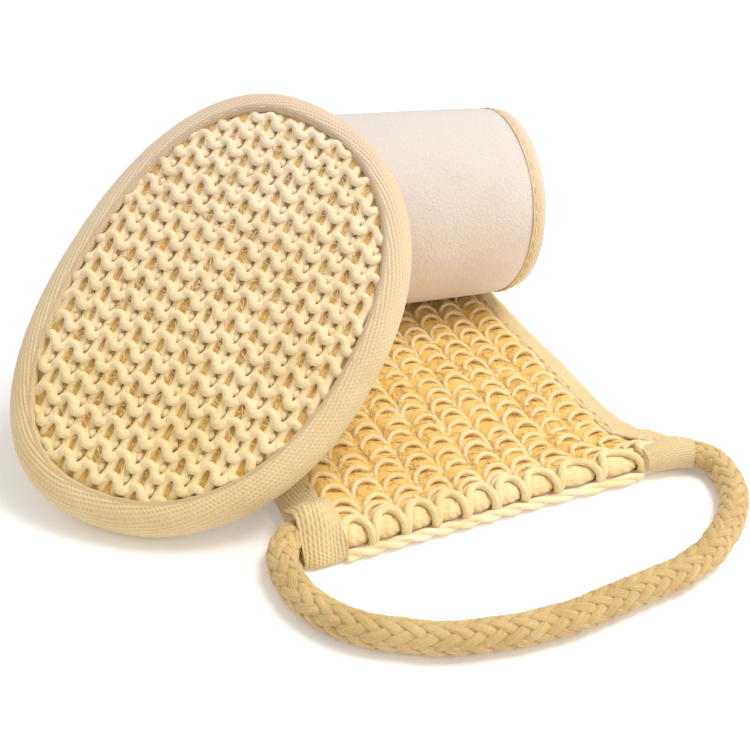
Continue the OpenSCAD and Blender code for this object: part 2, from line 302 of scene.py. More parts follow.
# %% Laid grid
WELD_DISTANCE = 1e-6
SMOOTH_ANGLE = math.radians(50)


def ease(start, end, value):
    share = np.clip((value - start) / (end - start), 0, 1)
    return share * share * (3 - 2 * share)


def unit(vectors):
    return vectors / np.linalg.norm(vectors, axis=-1, keepdims=True)


def lay_grid(name, points, size=(1, 1)):
    """A grid whose corners lie on points[along, across]; size is its flat size across and along."""
    along, across = points.shape[:2]
    bpy.ops.object.select_all(action="DESELECT")
    bpy.ops.mesh.primitive_grid_add(x_subdivisions=across - 1, y_subdivisions=along - 1, size=1)
    piece = bpy.context.object
    piece.name = piece.data.name = name
    piece.data.vertices.foreach_set("co", points.astype(np.float32).ravel())
    layer = piece.data.uv_layers.active.data
    flat = np.empty(len(layer) * 2, np.float32)
    layer.foreach_get("uv", flat)
    layer.foreach_set("uv", (flat.reshape(-1, 2) * size).astype(np.float32).ravel())
    piece.data.update()
    return piece


def weld(piece):
    """Closes seams and poles and points every face outwards."""
    bpy.ops.object.select_all(action="DESELECT")
    bpy.context.view_layer.objects.active = piece
    piece.select_set(True)
    bpy.ops.object.mode_set(mode="EDIT")
    bpy.ops.mesh.select_all(action="SELECT")
    bpy.ops.mesh.remove_doubles(threshold=WELD_DISTANCE)
    bpy.ops.mesh.normals_make_consistent(inside=False)
    bpy.ops.object.mode_set(mode="OBJECT")
    bpy.ops.object.shade_smooth()
    return piece


def thicken(piece, thickness):
    """Gives a laid cloth its thickness with an applied Solidify modifier."""
    bpy.ops.object.select_all(action="DESELECT")
    bpy.context.view_layer.objects.active = piece
    piece.select_set(True)
    solid = piece.modifiers.new("thickness", "SOLIDIFY")
    solid.thickness = thickness
    solid.offset = -1.0
    bpy.ops.object.modifier_apply(modifier=solid.name)
    bpy.ops.object.shade_smooth_by_angle(angle=SMOOTH_ANGLE)
    return piece


def join(name, pieces):
    bpy.ops.object.select_all(action="DESELECT")
    for piece in pieces:
        piece.select_set(True)
    bpy.context.view_layer.objects.active = pieces[0]
    if len(pieces) > 1:
        bpy.ops.object.join()
    pieces[0].name = pieces[0].data.name = name
    return pieces[0]


# %% Swept strand
def length_along(line):
    return np.concatenate([[0], np.cumsum(np.linalg.norm(np.diff(line, axis=0), axis=1))])


def resample(line, count):
    """The same line with its points evenly spaced."""
    run = length_along(line)
    even = np.linspace(0, run[-1], count)
    return np.stack([np.interp(even, run, line[:, axis]) for axis in range(3)], axis=1)


def smooth_line(points, per_gap=12):
    """A Catmull-Rom curve through the points."""
    points = np.asarray(points, float)
    ends = np.concatenate([[2 * points[0] - points[1]], points, [2 * points[-1] - points[-2]]])
    share = np.linspace(0, 1, per_gap, endpoint=False)[:, None]
    spans = []
    for a, b, c, d in zip(ends, ends[1:], ends[2:], ends[3:]):
        spans.append(0.5 * (2 * b + (c - a) * share + (2 * a - 5 * b + 4 * c - d) * share**2
                            + (3 * b - a - 3 * c + d) * share**3))
    return np.concatenate([*spans, points[-1:]])


def sweep(name, line, width, height, up, sides=8):
    """A closed strand of an oval section along line, whose height points towards up."""
    tangent = unit(np.gradient(line, axis=0))
    up = np.broadcast_to(np.asarray(up, float), line.shape)
    up = unit(up - (up * tangent).sum(1, keepdims=True) * tangent)
    side = np.cross(tangent, up)
    turn = np.linspace(0, 2 * math.pi, sides + 1)
    taper = np.ones(len(line))
    taper[[0, -1]] = 0
    taper[[1, -2]] = 0.8
    wide = (side * (taper * width / 2)[:, None])[:, None] * np.cos(turn)[None, :, None]
    high = (up * (taper * height / 2)[:, None])[:, None] * np.sin(turn)[None, :, None]
    return weld(lay_grid(name, line[:, None] + wide - high, (1, length_along(line)[-1])))


def threads(name, lines, diameter):
    """Many fine threads as one bevelled curve, turned into a mesh."""
    curve = bpy.data.curves.new(name, "CURVE")
    curve.dimensions = "3D"
    curve.bevel_depth = diameter / 2
    curve.bevel_resolution = 0
    curve.use_fill_caps = True
    for line in lines:
        spline = curve.splines.new("POLY")
        spline.points.add(len(line) - 1)
        spline.points.foreach_set("co", np.c_[line, np.ones(len(line))].ravel())
    piece = bpy.data.objects.new(name, curve)
    bpy.context.scene.collection.objects.link(piece)
    bpy.ops.object.select_all(action="DESELECT")
    bpy.context.view_layer.objects.active = piece
    piece.select_set(True)
    bpy.ops.object.convert(target="MESH")
    piece = bpy.context.object
    bpy.ops.object.shade_smooth()
    return piece


print("helpers ready")

# %% [markdown]
# ## Material helpers
# All the finishes are woven or knitted plant fibre. Three node groups carry what they share: a slow drift
# between two tones, with painted light that shifts the colour of the higher parts, fine fibres that run
# along a strand, and the slanting ridges of a twill weave, with a mask of its grooves for painted shade. A
# group only puts out colours and heights. The shader and its constants stay in each material.


# %% Node groups
def new_group(name, inputs, outputs):
    group = bpy.data.node_groups.new(name, "ShaderNodeTree")
    for title, kind, value in inputs:
        socket = group.interface.new_socket(title, in_out="INPUT", socket_type=kind)
        socket.default_value = value
    for title, kind in outputs:
        group.interface.new_socket(title, in_out="OUTPUT", socket_type=kind)
    return group, group.nodes.new("NodeGroupInput"), group.nodes.new("NodeGroupOutput")


def node(tree, kind, links=None, values=None, **settings):
    """A node with its settings, its socket values and the sockets that feed it."""
    made = tree.nodes.new(kind)
    for key, value in settings.items():
        setattr(made, key, value)
    for key, value in (values or {}).items():
        made.inputs[key].default_value = value
    for key, source in (links or {}).items():
        tree.links.new(source, made.inputs[key])
    return made


def math_node(tree, operation, a, b):
    made = tree.nodes.new("ShaderNodeMath")
    made.operation = operation
    for slot, value in enumerate((a, b)):
        if isinstance(value, (int, float)):
            made.inputs[slot].default_value = value
        else:
            tree.links.new(value, made.inputs[slot])
    return made.outputs[0]


def build_tone_and_painted_light_group():
    group, source, sink = new_group(
        "two_tones",
        [("Light", "NodeSocketColor", (1, 1, 1, 1)), ("Deep", "NodeSocketColor", (0.5, 0.4, 0.2, 1)),
         ("Scale", "NodeSocketFloat", 60.0), ("Speckle", "NodeSocketFloat", 900.0),
         ("Pale", "NodeSocketColor", (0.8, 0.7, 0.6, 1)), ("Paling", "NodeSocketFloat", 0.6)],
        [("Color", "NodeSocketColor")])
    place = node(group, "ShaderNodeTexCoord").outputs["Object"]
    slow = node(group, "ShaderNodeTexNoise", {"Vector": place, "Scale": source.outputs["Scale"]},
                {"Detail": 3.0})
    fine = node(group, "ShaderNodeTexNoise", {"Vector": place, "Scale": source.outputs["Speckle"]},
                {"Detail": 2.0})
    both = math_node(group, "ADD", math_node(group, "MULTIPLY", slow.outputs["Fac"], 0.6),
                     math_node(group, "MULTIPLY", fine.outputs["Fac"], 0.4))
    share = node(group, "ShaderNodeMapRange", {"Value": both},
                 {"From Min": 0.36, "From Max": 0.64, "To Min": 0.0, "To Max": 1.0})
    mix = node(group, "ShaderNodeMix", {"Factor": share.outputs["Result"], "A": source.outputs["Deep"],
                                        "B": source.outputs["Light"]}, data_type="RGBA")
    # Painted light by height: from 2 cm to 8.5 cm above the table the colour turns towards the painted light tone,
    # which stands in for how the top light falls on the higher parts.
    height = node(group, "ShaderNodeSeparateXYZ", {"Vector": place}).outputs["Z"]
    rise = node(group, "ShaderNodeMapRange", {"Value": height, "To Max": source.outputs["Paling"]},
                {"From Min": 0.02, "From Max": 0.085, "To Min": 0.0})
    with_painted_light = node(group, "ShaderNodeMix", {"Factor": rise.outputs["Result"], "A": mix.outputs["Result"],
                                          "B": source.outputs["Pale"]}, data_type="RGBA")
    group.links.new(with_painted_light.outputs["Result"], sink.inputs["Color"])
    return group


def build_fibre_group():
    """Long fine streaks down a strand, which wind round it by the twist."""
    group, source, sink = new_group(
        "fibre_streaks",
        [("Around", "NodeSocketFloat", 18.0), ("Along", "NodeSocketFloat", 150.0),
         ("Twist", "NodeSocketFloat", 60.0)],
        [("Height", "NodeSocketFloat")])
    uv = node(group, "ShaderNodeSeparateXYZ", {"Vector": node(group, "ShaderNodeTexCoord").outputs["UV"]})
    wound = math_node(group, "ADD", uv.outputs["X"], math_node(group, "MULTIPLY", uv.outputs["Y"],
                                                               source.outputs["Twist"]))
    circle = node(group, "ShaderNodeCombineXYZ", {
        "X": math_node(group, "MULTIPLY", wound, source.outputs["Around"]),
        "Y": math_node(group, "MULTIPLY", uv.outputs["Y"], source.outputs["Along"])})
    streak = node(group, "ShaderNodeTexNoise", {"Vector": circle.outputs["Vector"]},
                  {"Scale": 1.0, "Detail": 4.0, "Roughness": 0.6})
    group.links.new(streak.outputs["Fac"], sink.inputs["Height"])
    return group


def build_twill_group():
    """Slanting ridges from the UV map, whose two directions are in metres, and a mask of their grooves for painted
    shade.
    """
    group, source, sink = new_group(
        "twill_ridges",
        [("Ridges", "NodeSocketFloat", 900.0), ("Slant", "NodeSocketFloat", 0.6),
         ("Cross", "NodeSocketFloat", 2200.0)],
        [("Height", "NodeSocketFloat"), ("Groove", "NodeSocketFloat")])
    place = node(group, "ShaderNodeTexCoord")
    uv = node(group, "ShaderNodeSeparateXYZ", {"Vector": place.outputs["UV"]})
    wobble = node(group, "ShaderNodeTexNoise", {"Vector": place.outputs["Object"]}, {"Scale": 120.0})
    slanted = math_node(group, "ADD", uv.outputs["X"], math_node(group, "MULTIPLY", uv.outputs["Y"],
                                                                 source.outputs["Slant"]))
    phase = math_node(group, "ADD", math_node(group, "MULTIPLY", slanted, source.outputs["Ridges"]),
                      math_node(group, "MULTIPLY", wobble.outputs["Fac"], 0.7))
    ridge = math_node(group, "SINE", math_node(group, "MULTIPLY", phase, 2 * math.pi), 0)
    cross = math_node(group, "SINE", math_node(group, "MULTIPLY", math_node(
        group, "MULTIPLY", math_node(group, "SUBTRACT", uv.outputs["Y"], uv.outputs["X"]),
        source.outputs["Cross"]), 2 * math.pi), 0)
    height = math_node(group, "ADD", math_node(group, "MULTIPLY", ridge, 0.7),
                       math_node(group, "MULTIPLY", cross, 0.3))
    groove_shade = node(group, "ShaderNodeMapRange", {"Value": height},
                  {"From Min": -1.0, "From Max": -0.1, "To Min": 1.0, "To Max": 0.0})
    group.links.new(height, sink.inputs["Height"])
    group.links.new(groove_shade.outputs["Result"], sink.inputs["Groove"])
    return group


TONES_AND_PAINTED_LIGHT = build_tone_and_painted_light_group()
FIBRES = build_fibre_group()
TWILL = build_twill_group()
print("node groups:", TONES_AND_PAINTED_LIGHT.name, FIBRES.name, TWILL.name)


# %% Base of every cloth material
def srgb(red, green, blue):
    """A colour as it looks on a screen, from 0 to 255, as the shader wants it."""
    return (*[(v / 255 / 12.92) if v < 11 else ((v / 255 + 0.055) / 1.055) ** 2.4
              for v in (red, green, blue)], 1)


class Cloth:
    """A material under construction: its tree, its colour so far and its bump heights."""

    def __init__(self, name, light, deep, scale=60.0, speckle=900.0, roughness=0.85, sheen=0.25,
                 pale=srgb(236, 221, 203), paling=0.6):
        self.material = bpy.data.materials.new(name)
        self.material.use_nodes = True
        self.tree = self.material.node_tree
        self.shader = self.tree.nodes["Principled BSDF"]
        self.shader.inputs["Roughness"].default_value = roughness
        self.shader.inputs["Sheen Weight"].default_value = sheen
        self.shader.inputs["Specular IOR Level"].default_value = 0.25
        # Every cloth takes painted light by height. By default its higher parts turn paler and pinker.
        tone = self.group(TONES_AND_PAINTED_LIGHT, {"Light": light, "Deep": deep, "Scale": scale, "Speckle": speckle,
                                  "Pale": pale, "Paling": paling})
        self.colour = tone.outputs["Color"]
        self.normal = None

    def group(self, tree, values):
        made = node(self.tree, "ShaderNodeGroup", node_tree=tree)
        for key, value in values.items():
            made.inputs[key].default_value = value
        return made

    def shade(self, mask, colour, strength=1.0):
        """Mixes a second colour in where the mask is high."""
        share = math_node(self.tree, "MULTIPLY", mask, strength)
        mix = node(self.tree, "ShaderNodeMix", {"Factor": share, "A": self.colour}, data_type="RGBA")
        mix.inputs["B"].default_value = colour
        self.colour = mix.outputs["Result"]

    def bump(self, height, distance, strength=1.0):
        made = node(self.tree, "ShaderNodeBump", {"Height": height},
                    {"Distance": distance, "Strength": strength})
        if self.normal:
            self.tree.links.new(self.normal, made.inputs["Normal"])
        self.normal = made.outputs["Normal"]

    def noise(self, scale, detail=3.0, stretch=(1, 1, 1)):
        place = node(self.tree, "ShaderNodeTexCoord").outputs["Object"]
        turned = node(self.tree, "ShaderNodeMapping", {"Vector": place}, {"Scale": stretch})
        return node(self.tree, "ShaderNodeTexNoise", {"Vector": turned.outputs["Vector"]},
                    {"Scale": scale, "Detail": detail}).outputs["Fac"]

    def done(self):
        self.tree.links.new(self.colour, self.shader.inputs["Base Color"])
        if self.normal:
            self.tree.links.new(self.normal, self.shader.inputs["Normal"])
        return self.material


def paint(piece, material, slot):
    piece.data.materials.clear()
    piece.data.materials.append(material)
    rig.slot(piece, slot)
    return piece


print("material base ready")

# %% [markdown]
# ## Rope handles
# Each end of the strap has a handle of soft cotton rope, a braid of sixteen flat strands round a core.
# Eight wind one way and eight the other, and each goes over two and under two. It could be a tube with a
# bumpy surface, but the edge of a braid is uneven and its gaps are deep, so every strand is modelled.
# Only its line changes: a helix whose radius rises where the strand is on top.

# %% Cotton rope material
ROPE_D = 8 * MM


def make_rope_material():
    cloth = Cloth("cotton_rope", srgb(222, 191, 133), srgb(203, 169, 109), 90.0, 1200.0, 0.8, 0.3)
    streaks = cloth.group(FIBRES, {"Around": 26.0, "Along": 60.0, "Twist": 14.0})
    # Painted shade: darker brown where the fibre streaks are low, in the grooves between the fibres.
    cloth.shade(node(cloth.tree, "ShaderNodeMapRange", {"Value": streaks.outputs["Height"]},
                     {"From Min": 0.5, "From Max": 0.3}).outputs["Result"], srgb(160, 122, 66), 0.6)
    cloth.bump(streaks.outputs["Height"], 0.35 * MM, 0.9)
    return cloth.done()


ROPE_FINISH = make_rope_material()


# %% The braid
BRAID_PITCH = 42 * MM
STRANDS = 8
STRAND_R = 3.0 * MM
STRAND_RISE = 0.4 * MM
STRAND_W = 2.8 * MM
STRAND_T = 1.4 * MM
# How abruptly a strand changes from the top of the braid to below it.
STRAND_SNAP = 1.7


def carried_frame(line, up):
    """Up and side directions carried along the line without twist."""
    tangent = unit(np.gradient(line, axis=0))
    ups = np.empty_like(line)
    current = np.asarray(up, float)
    for index, along in enumerate(tangent):
        current = current - along * current.dot(along)
        current = current / np.linalg.norm(current)
        ups[index] = current
    return ups, np.cross(tangent, ups)


def braid(name, line, up=(0, 0, 1), spacing=1.0 * MM, pinch=0.0):
    run_end = length_along(line)[-1]
    line = resample(line, int(run_end / spacing) + 1)
    run = length_along(line)
    ups, sides = carried_frame(line, up)
    crossing = 2 * STRANDS * run / BRAID_PITCH
    full = 1 - pinch * ease(11 * MM, 3 * MM, np.minimum(run, run_end - run))
    strands = []
    for way, first in ((1, -0.5), (-1, 2.5)):
        for strand in range(STRANDS):
            turn = way * 2 * math.pi * (run / BRAID_PITCH + strand / STRANDS)
            wave = np.cos(math.pi / 2 * (crossing + 2 * strand + first))
            over = np.tanh(STRAND_SNAP * wave) / np.tanh(STRAND_SNAP)
            out = ups * np.cos(turn)[:, None] + sides * np.sin(turn)[:, None]
            radius = (STRAND_R + STRAND_RISE * over) * full
            strands.append(sweep("strand", line + out * radius[:, None],
                                 STRAND_W * full, STRAND_T * full, out))
    strands.append(sweep("core", line, 1.5 * STRAND_R * full, 1.5 * STRAND_R * full, ups))
    return paint(join(name, strands), ROPE_FINISH, "cotton_rope"), line, run_end


# %% Near rope
HINGE_Y = -50 * MM
HINGE_Z = ROPE_D / 2 + 1 * MM
# Across, out from the hinge line towards the viewer, and height between the table (0) and the hinge (1).
NEAR_ROPE = [
    (-48, 0, 1), (-51, 0, 1), (-56, 1.5, 1), (-60, 5, 0.6), (-62, 10, 0.2), (-62, 16, 0),
    (-61, 22, 0), (-58, 28, 0), (-54, 33, 0), (-49, 37, 0), (-43, 40, 0), (-37, 43, 0),
    (-30, 45, 0), (-23, 46, 0), (-16, 47, 0), (-9, 47, 0), (-2, 47, 0), (5, 46, 0),
    (12, 45, 0), (19, 44, 0), (26, 43, 0), (33, 42, 0), (39, 40, 0), (45, 38, 0),
    (50, 35, 0), (55, 32, 0), (60, 28, 0), (65, 23, 0), (69, 17, 0), (71, 11, 0),
    (71, 6, 0.5), (67, 2, 1), (61, 0, 1), (55, 0, 1), (48, 0, 1)]


def near_rope_line():
    lowest = ROPE_D / 2
    return smooth_line([(x * MM, HINGE_Y - out * MM, lowest + (HINGE_Z - lowest) * high)
                        for x, out, high in NEAR_ROPE])


near_rope, near_line, near_length = braid("near_rope_braid", near_rope_line(), pinch=0.5)
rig.ride(near_rope, "near_handle")
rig.replaces(near_rope, "near_rope")
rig.cord(near_rope, exit=near_line[0], length=near_length, diameter=ROPE_D, far_end="object",
        stiffness="limp", lay="loose", path=near_line[::4])
print("near rope:", round(near_length * 1000), "mm,", len(near_rope.data.polygons), "faces")

# %% [markdown]
# ## The strap as one bent surface
# All the strap's layers follow the same path: flat on the table from the near edge, then wound into the
# roll as a spiral that loses one thickness every turn. So one function places any point of any layer,
# from how far across the strap it is, how far along from the near edge, and how high above the terry
# face. It also pinches the bound edges thinner, and draws the near right corner out towards its handle,
# as the pull of the rope does on the real strap.

# %% Sizes of the strap
TERRY_T, FOAM_T, LINING_T, KNIT_T = (value * MM for value in (1.8, 2.4, 0.6, 2.2))
STRAP_T = TERRY_T + FOAM_T + LINING_T + KNIT_T
PITCH = STRAP_T + 0.2 * MM
HALF_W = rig.box("edge_tape_right")[1].x
NEAR_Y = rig.box("strap_terry")[0].y
FLAT_LEN = -2 * NEAR_Y
ROLL_Y = NEAR_Y + FLAT_LEN
ROLL_R = (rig.box("strap_terry")[1].z + PITCH / 2) / 2
ROLL_TURNS = 2.5
TAPE_T = 0.8 * MM
KNIT_TAPE_W = 10 * MM
BACK_TAPE_W = 6 * MM
MID_R = ROLL_R - STRAP_T / 2


def run_at(turns):
    """Length of strap from the near edge to this many turns round the roll."""
    angle = 2 * math.pi * turns
    return FLAT_LEN + MID_R * angle - PITCH * angle**2 / (4 * math.pi)


STRAP_LEN = run_at(ROLL_TURNS)
print("roll radius", round(ROLL_R, 4), "strap length", round(STRAP_LEN, 4))

# %% Placing a point of the strap
PULL_LEN = 38 * MM
SLANT = 9 * MM
FLARE = 13 * MM
CORNER_LIFT = 5.5 * MM


def strap_at(x, run, high):
    """Points of the strap: x across, run from the near edge, high above the terry face."""
    x, run, high = np.broadcast_arrays(*(np.asarray(value, float) for value in (x, run, high)))
    share = high / STRAP_T
    rim = ease(HALF_W - 13 * MM, HALF_W, np.abs(x))
    on_roll = ease(FLAT_LEN - 25 * MM, FLAT_LEN + 30 * MM, run)
    high = high * (1 - 0.28 * rim) + 0.14 * STRAP_T * rim * on_roll
    high = high * (1 - 0.5 * ease(HALF_W - 13 * MM, HALF_W - 7 * MM, np.abs(x)) * ease(12 * MM, 0, run))
    wound = np.clip(run - FLAT_LEN, 0, None)
    angle = (MID_R - np.sqrt(MID_R**2 - PITCH * wound / math.pi)) * 2 * math.pi / PITCH
    radius = ROLL_R - PITCH * angle / (2 * math.pi) - high
    y = np.where(run < FLAT_LEN, NEAR_Y + run, ROLL_Y + radius * np.sin(angle))
    z = np.where(run < FLAT_LEN, high, ROLL_R - radius * np.cos(angle))
    pull = (1 - np.clip(run / PULL_LEN, 0, 1)) ** 2
    late = ease(16 * MM, 0, run)
    y = y + ease(PULL_LEN, 0, run) * (SLANT * (x / HALF_W + 1) / 2 - 1.5 * MM)
    edge = ease(HALF_W - KNIT_TAPE_W - 2 * MM, HALF_W, x)
    x_out = x + FLARE * pull * edge + 1.1 * FLARE * late * ease(10 * MM, HALF_W - KNIT_TAPE_W, x) * (1 - edge)
    over_rope = (8 - 7.5 * (x / HALF_W + 1) / 2) * MM
    corner = (ease(HALF_W - 13 * MM, HALF_W - 5 * MM, np.abs(x))
              * np.exp(-((run - over_rope) / (6 * MM)) ** 2))
    return np.stack([x_out, y, z + CORNER_LIFT * corner * share], axis=-1)


print("near right corner:", strap_at(HALF_W, 0, 0).round(4))

# %% [markdown]
# ## Terry cloth
# The smooth side of the strap, and the back of the pad, is cotton terry with a short dense pile. At this
# size the pile is a soft speckle and not separate loops, so the cloth is a laid grid with a thickness,
# and its pile is a bump of two noises with a pale, slightly pink tone.


# %% Terry material and strap cloth
def make_terry_material():
    # Painted shade: the higher parts, the top of the roll most, turn greyer and darker, towards 200, 194, 191 at full
    # share.
    cloth = Cloth("terry", srgb(236, 220, 206), srgb(225, 206, 190), 45.0, 1500.0, 0.95, 0.6,
                  srgb(200, 194, 191), 1.0)
    cloth.bump(cloth.noise(1500, 4), 0.5 * MM, 0.55)
    cloth.bump(cloth.noise(160, 2), 0.6 * MM, 0.4)
    return cloth.done()


TERRY_FINISH = make_terry_material()
RUN_STEP = 2.4 * MM
SLAB_POINTS = 24


def strap_runs(start=0.0, end=None, step=RUN_STEP):
    end = STRAP_LEN if end is None else end
    return np.linspace(start, end, int((end - start) / step) + 1)


def slab(name, half_w, runs, low, top, curl=0.0):
    """A closed layer of the strap between two heights, with rounded long edges."""
    spread = np.sin(np.linspace(-math.pi / 2, math.pi / 2, SLAB_POINTS)) * 0.35
    spread = (spread + np.linspace(-1, 1, SLAB_POINTS) * 0.65) * half_w
    under = np.stack([spread, np.full(SLAB_POINTS, low)], 1)
    over = np.stack([spread[::-1], np.full(SLAB_POINTS, top)], 1)
    section = np.concatenate([under, over, under[:1]])
    x, high = section[None, :, 0], section[None, :, 1]
    wave = curl * np.sin(runs[:, None] * 210 + x * 90) * ease(half_w * 0.4, half_w, np.abs(x))
    piece = lay_grid(name, strap_at(x, runs[:, None], high + wave * (1 - high / STRAP_T)),
                     (4 * half_w, runs[-1] - runs[0]))
    return cap_ends(weld(piece))


def cap_ends(piece):
    """Fills the open ends of a swept shell with one face each."""
    bpy.ops.object.mode_set(mode="EDIT")
    bpy.ops.mesh.select_all(action="DESELECT")
    bpy.ops.mesh.select_mode(type="EDGE")
    bpy.ops.mesh.select_non_manifold()
    bpy.ops.mesh.fill_holes(sides=0)
    bpy.ops.mesh.select_all(action="SELECT")
    bpy.ops.mesh.normals_make_consistent(inside=False)
    bpy.ops.mesh.select_mode(type="VERT")
    bpy.ops.object.mode_set(mode="OBJECT")
    bpy.ops.object.shade_smooth_by_angle(angle=SMOOTH_ANGLE)
    return piece


LAYER_HALF = HALF_W - TAPE_T
strap_terry = slab("strap_terry_cloth", LAYER_HALF, strap_runs(), 0, TERRY_T, curl=0.15 * MM)
paint(strap_terry, TERRY_FINISH, "terry")
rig.ride(strap_terry, "strap")
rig.replaces(strap_terry, "strap_terry")
print("strap terry:", len(strap_terry.data.polygons), "faces")

# %% [markdown]
# ## Foam and fibre lining
# Under the terry lies a sheet of soft foam, and on the foam a thin mat of golden loofah fibre that shows
# through the knit. The mat is not flat: in every stitch it puffs up through the loop. So its height
# follows the knit's own rows and columns, which are named here first.

# %% Foam
def make_foam_material():
    cloth = Cloth("foam", srgb(246, 236, 210), srgb(232, 216, 180), 80.0, 1400.0, 0.9, 0.1)
    cloth.bump(cloth.noise(1800, 2), 0.3 * MM, 0.5)
    return cloth.done()


FOAM_FINISH = make_foam_material()
strap_foam = slab("strap_foam_core", LAYER_HALF - 0.3 * MM, strap_runs(3.4 * MM), TERRY_T + 0.05 * MM,
                  TERRY_T + FOAM_T)
paint(strap_foam, FOAM_FINISH, "foam")
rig.ride(strap_foam, "strap")
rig.replaces(strap_foam, "strap_foam")
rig.padded(strap_foam, fill=0.6)
print("strap foam:", len(strap_foam.data.polygons), "faces")

# %% Fibre lining of the strap
COLUMN_W = 9.25 * MM
ROW_H = 5.98 * MM
COLUMNS = 10
KNIT_HALF = HALF_W - KNIT_TAPE_W
FIRST_ROW = 9 * MM
PUFF = 1.5 * MM
LINING_TOP = TERRY_T + FOAM_T + LINING_T


def make_fibre_material(name, light, deep, pale, darkness):
    # The higher parts turn towards the painted light tone given: painted light by height.
    cloth = Cloth(name, light, deep, 120.0, 1100.0, 0.75, 0.2, pale, 0.45)
    one_way = cloth.noise(520, 4, (1, 5, 1))
    other_way = cloth.noise(520, 4, (5, 1, 1))
    mat = math_node(cloth.tree, "MAXIMUM", one_way, other_way)
    # Painted shade: where the fibre bump is low, in the gaps between the fibres, the colour darkens towards 176, 126,
    # 54.
    painted_gap_shade = node(cloth.tree, "ShaderNodeMapRange", {"Value": mat}, {"From Min": 0.56, "From Max": 0.44})
    cloth.shade(painted_gap_shade.outputs["Result"], srgb(176, 126, 54), darkness)
    cloth.bump(mat, 0.8 * MM, 2 * darkness)
    return cloth.done()


LINING_FINISH = make_fibre_material("loofah_fibre", srgb(246, 210, 128), srgb(234, 188, 100),
                                    srgb(244, 212, 150), 0.22)
# The pad's lining is the same loofah fibre, painted darker and with more gap shade: painted shade for the deep holes
# of the pad's thicker knit.
PAD_LINING_SHADED_FINISH = make_fibre_material("loofah_fibre_deep", srgb(238, 200, 116), srgb(212, 166, 82),
                                        srgb(234, 206, 150), 0.42)


def puff_height(x, run):
    """How far the lining rises inside each stitch."""
    column = (x / COLUMN_W + COLUMNS / 2) % 1 - 0.5
    row = ((run - FIRST_ROW) / ROW_H + 0.38) % 1 - 0.5
    dome = np.clip(1 - (2.0 * column) ** 2, 0, 1) * np.clip(1 - (1.9 * row) ** 2, 0, 1)
    return PUFF * np.sqrt(dome) * ease(HALF_W - 8 * MM, HALF_W - 12 * MM, np.abs(x))


def edge_rise(x):
    """How far the knit and its lining rise to meet the tapes."""
    return 1.0 * MM * ease(KNIT_HALF - 6 * MM, KNIT_HALF - 0.5 * MM, np.abs(x))


def make_strap_lining():
    runs = strap_runs(4.5 * MM, FLAT_LEN + 12 * MM, 0.55 * MM)
    runs = np.concatenate([runs, strap_runs(FLAT_LEN + 12 * MM, STRAP_LEN, 1.5 * MM)[1:]])
    x = np.linspace(-LAYER_HALF + 0.4 * MM, LAYER_HALF - 0.4 * MM, 170)
    high = LINING_TOP + puff_height(x[None], runs[:, None]) * ((runs < FLAT_LEN + 5 * MM)
                                                             | (runs > run_at(1.4)))[:, None]
    high = high + edge_rise(x)[None] * ease(HALF_W - 5 * MM, HALF_W - 9 * MM, np.abs(x))[None]
    piece = lay_grid("strap_fibre_lining", strap_at(x[None], runs[:, None], high),
                     (2 * LAYER_HALF, STRAP_LEN))
    return thicken(piece, LINING_T - 0.1 * MM)


strap_lining = paint(make_strap_lining(), LINING_FINISH, "fibre_lining")
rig.ride(strap_lining, "strap")
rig.replaces(strap_lining, "strap_lining")
print("strap lining:", len(strap_lining.data.polygons), "faces")

# %% [markdown]
# ## Sisal knit
# The scrubbing face is a loose reverse-side knit of stiff sisal yarn. Each row is one strand that
# climbs into a head, drops behind the row below and turns back up, and neighbouring rows hang in each
# other. One formula gives that line, so one row is a single swept strand, and the heads and
# the bights between them rise above the legs by themselves.


# %% Sisal yarn material
def make_yarn_material():
    cloth = Cloth("sisal_yarn", srgb(244, 224, 176), srgb(234, 206, 146), 70.0, 900.0, 0.7, 0.35)
    streaks = cloth.group(FIBRES, {"Around": 10.0, "Along": 130.0, "Twist": 110.0})
    # Painted shade: darker where the fibre streaks are low, in the grooves between the fibres.
    cloth.shade(node(cloth.tree, "ShaderNodeMapRange", {"Value": streaks.outputs["Height"]},
                     {"From Min": 0.48, "From Max": 0.28}).outputs["Result"], srgb(214, 172, 96), 0.45)
    cloth.bump(streaks.outputs["Height"], 0.35 * MM, 0.8)
    cloth.bump(cloth.noise(1500, 3), 0.12 * MM, 0.6)
    return cloth.done()


YARN_FINISH = make_yarn_material()
STITCH_STEPS = 22
KNIT_SEED = 7


def knit_line(columns, column_w, reach, lean, spread, crest, proud):
    """One row of knitting about the origin: along, up the cloth, and out of it."""
    t = np.linspace(-math.pi * columns, math.pi * columns, round(columns * STITCH_STEPS) + 1)
    if columns % 2 == 0:
        t = t + math.pi
    x = column_w * t / (2 * math.pi) + lean * np.sin(2 * t) + spread * np.sin(t)
    x = x - (column_w / 2 if columns % 2 == 0 else 0)
    return np.stack([x, reach * np.cos(t), crest * np.cos(2 * t) + proud * np.cos(t)], axis=1)


def uneven(rng, line, amount):
    """Small slow irregularities, as hand-fed yarn has."""
    knots = smooth_line(rng.normal(0, amount, (len(line) // 12 + 3, 3)), 10)
    at = np.linspace(0, len(knots) - 1.001, len(line))
    below = at.astype(int)
    share = (at - below)[:, None]
    return line + knots[below] * (1 - share) + knots[below + 1] * share


# %% Rows of the strap
YARN_D = 1.6 * MM
STRAP_REACH = 4.3 * MM
YARN_LIFT = LINING_TOP + 0.35 * MM


